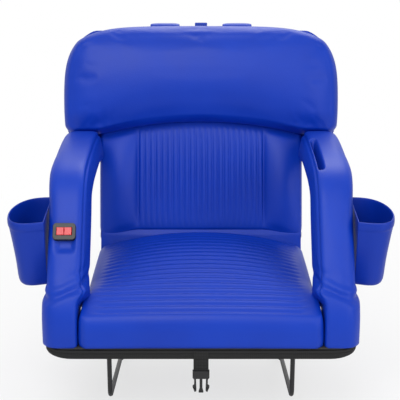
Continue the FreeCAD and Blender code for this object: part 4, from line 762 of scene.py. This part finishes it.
def make_underside():
    """Black canvas underside: a wall round the base with a bound hem at its top and a stitched groove, turned under
    to a flat floor with two bays for the hooks."""
    wing, back = 262.0, 179.0
    corners = [(-wing, SEAT_FRONT), (wing, SEAT_FRONT), (wing, -130), (HALF, -130), (HALF, back), (-HALF, back),
               (-HALF, -130), (-wing, -130)]
    loop = spread(bent(corners, [48, 48, 16, 14, 16, 16, 14, 16], closed=True), 360, closed=True)
    ahead = np.roll(loop, -1, 0) - np.roll(loop, 1, 0)
    out = np.stack([ahead[:, 1], -ahead[:, 0]], 1) / np.linalg.norm(ahead, axis=1, keepdims=True)
    profile = [(-2.4, 16.7), (0.0, 16.8), (1.0, 15.4), (1.0, 12.4), (0.2, 11.6), (-0.3, 11.2), (0.3, 10.6),
               (0.7, 8.0), (0.5, 5.0), (-0.8, 2.4), (-3.4, 0.5), (-9.0, 0.0)]
    rings = np.stack([np.column_stack([loop + out * away, np.full(len(loop), z)]) for away, z in profile])
    bays = [np.array([(a, -184), (b, -184), (b, 86), (a, 86)], float) for a, b in ((12, 167), (-167, -12))]
    floor_line = rings[-1]
    holes = [np.column_stack([bay, np.zeros(4)]) for bay in bays]
    cut = tessellate_polygon([[Vector(p) for p in line] for line in (floor_line, *holes)])
    first = (len(profile) - 1) * len(loop)
    faces = [face[::-1] for face in grid_faces(len(profile), len(loop), closed=True)]
    below = [[first + n for n in face] for face in cut]
    points = np.vstack([rings.reshape(-1, 3), *holes])
    ends = points[np.array(below)]
    level = np.cross(ends[:, 1] - ends[:, 0], ends[:, 2] - ends[:, 0])[:, 2]
    faces += [face if turn < 0 else face[::-1] for face, turn in zip(below, level)]
    made = piece("canvas_underside", points, faces)
    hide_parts("base_cover")
    wear(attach(made, "seat"), black_canvas)


def make_rear():
    """Rear cover: a shallow padded panel behind the board, narrow below and as wide as the bolster above, with a
    sewn line where it widens."""
    up_line = np.concatenate([np.linspace(42, 190, 22), np.linspace(194, 210, 9), np.linspace(216, 405, 28)])
    top = BOLSTER_TOP - 5
    over = np.clip(up_line - top + 83, 0, 75)
    wing = BOLSTER_HALF - 5 - 83 + np.sqrt(83 ** 2 - over ** 2)
    wide = HALF + (wing - HALF) * smooth((up_line - 194) / 16) - 8
    a = np.linspace(-1, 1, 61)
    x = np.outer(wide, a)
    up = np.repeat(up_line[:, None], len(a), 1)
    seam = np.exp(-((up_line - 194) / 3.0) ** 2)
    height = 20.5 + 1.5 * (1 - a ** 4)[None, :] - 2.2 * seam[:, None]

    def place(x, height, up):
        return on_back(x, -height, up)

    made = cushion("rear_panel", x, up, height, 8.0, 8.0, 0.4, place=place, turned=True)[0]
    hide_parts("rear_cover")
    wear(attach(finer(made), "backrest"), blue_cover)


def make_flap():
    """Cloth flap in the crease: a sheet from behind the seat up to the back pad, a little slack in between, with
    upright folds of about 1 mm."""
    path = spread(bent([(177, 24), (178.5, 58), (188.5, 84), (198, 97)], 5), 34)
    share = np.linspace(0, 1, len(path))
    x = np.linspace(-200, 200, 101)
    fold = (np.sin(x / 13) + 0.6 * np.sin(x / 7.3))[None, :] * (np.sin(pi * share) ** 2)[:, None]
    y = path[:, :1] + 0.5 * fold
    z = np.repeat(path[:, 1:], len(x), 1)
    points = np.stack([np.repeat(x[None, :], len(path), 0), y, z], -1).reshape(-1, 3)
    made = piece("crease_flap", points, grid_faces(len(path), len(x)))
    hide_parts("hinge_flap")
    wear(made, blue_cover)
    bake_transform(made)


make_straps()
make_pocket(-1)
make_pocket(1)
make_underside()
make_rear()
make_flap()

# Camera, light and floor

camera = bpy.data.objects.new("Camera", bpy.data.cameras.new("Camera"))
bpy.context.scene.collection.objects.link(camera)
RISE, REACH, TARGET = radians(17), 1.7868, 0.2139
camera.location = (0, -REACH * cos(RISE), TARGET + REACH * sin(RISE))
camera.rotation_euler = (pi / 2 - RISE, 0, 0)
camera.data.sensor_width = 36
camera.data.lens = 90
camera.data.shift_x = -1 / 400
camera.data.clip_start, camera.data.clip_end = 0.05, 50
bpy.context.scene.camera = camera


def lamp(name, place, target, size, watts, tint="#FFFFFF"):
    """A square soft light aimed at a point."""
    made = bpy.data.objects.new(name, bpy.data.lights.new(name, "AREA"))
    made.data.shape = "SQUARE"
    made.data.size = size
    made.data.energy = watts
    made.data.color = linear(tint)[:3]
    x, y, z = np.array(target) - np.array(place)
    made.location = place
    made.rotation_euler = (atan2((x * x + y * y) ** 0.5, -z), 0, atan2(y, x) - pi / 2)
    bpy.context.scene.collection.objects.link(made)


lamp("Key", (-0.5, -1.6, 2.2), (0, 0, 0.2), 1.6, 34)
lamp("Fill", (1.4, -1.5, 1.1), (0, 0, 0.2), 1.4, 12)
lamp("Rear", (0.2, 1.7, 1.9), (0, 0.2, 0.2), 1.4, 22)

scene = bpy.context.scene
world = bpy.data.worlds.new("Studio")
world.use_nodes = True
scene.world = world
sky = world.node_tree
path_of = add(sky, "ShaderNodeLightPath")
seen = add(sky, "ShaderNodeMath", {0: path_of.outputs["Is Camera Ray"], 1: path_of.outputs["Is Glossy Ray"]},
           operation="MAXIMUM")
seen = add(sky, "ShaderNodeMath", {0: seen.outputs["Value"], 1: path_of.outputs["Is Transmission Ray"]},
           operation="MAXIMUM")
level = add(sky, "ShaderNodeMapRange", {"Value": seen.outputs["Value"], "To Min": 0.42, "To Max": 1.0})
shade = sky.nodes["Background"]
shade.inputs["Color"].default_value = (1, 1, 1, 1)
sky.links.new(level.outputs["Result"], shade.inputs["Strength"])

FLOOR = CAD_BOX[0][2] - 0.001
REACH_OUT = 40
corners = [(-REACH_OUT, -REACH_OUT), (REACH_OUT, -REACH_OUT), (REACH_OUT, REACH_OUT), (-REACH_OUT, REACH_OUT)]
floor = piece("floor", np.array([[x, y, FLOOR] for x, y in corners]) / MM, [[0, 1, 2, 3]])
pale, tree, main = finish_of("floor", "#F4F4F4", Roughness=0.8)
glow = add(tree, "ShaderNodeEmission", {"Color": (1, 1, 1, 1), "Strength": 1.0})
rays = add(tree, "ShaderNodeLightPath")
away = add(tree, "ShaderNodeVectorMath", {0: add(tree, "ShaderNodeTexCoord").outputs["Object"]}, operation="LENGTH")
fade = add(tree, "ShaderNodeMapRange", {"Value": away.outputs["Value"], "From Min": 0.4, "From Max": 1.3,
                                        "To Min": 0.7, "To Max": 1.0})
part = add(tree, "ShaderNodeMath", {0: rays.outputs["Is Camera Ray"], 1: fade.outputs["Result"]},
           operation="MULTIPLY")
both = add(tree, "ShaderNodeMixShader", {0: part.outputs["Value"], 1: main.outputs[0], 2: glow.outputs[0]})
tree.links.new(both.outputs[0], tree.nodes["Material Output"].inputs["Surface"])
floor.data.materials.append(pale)

scene.view_settings.view_transform = "Standard"
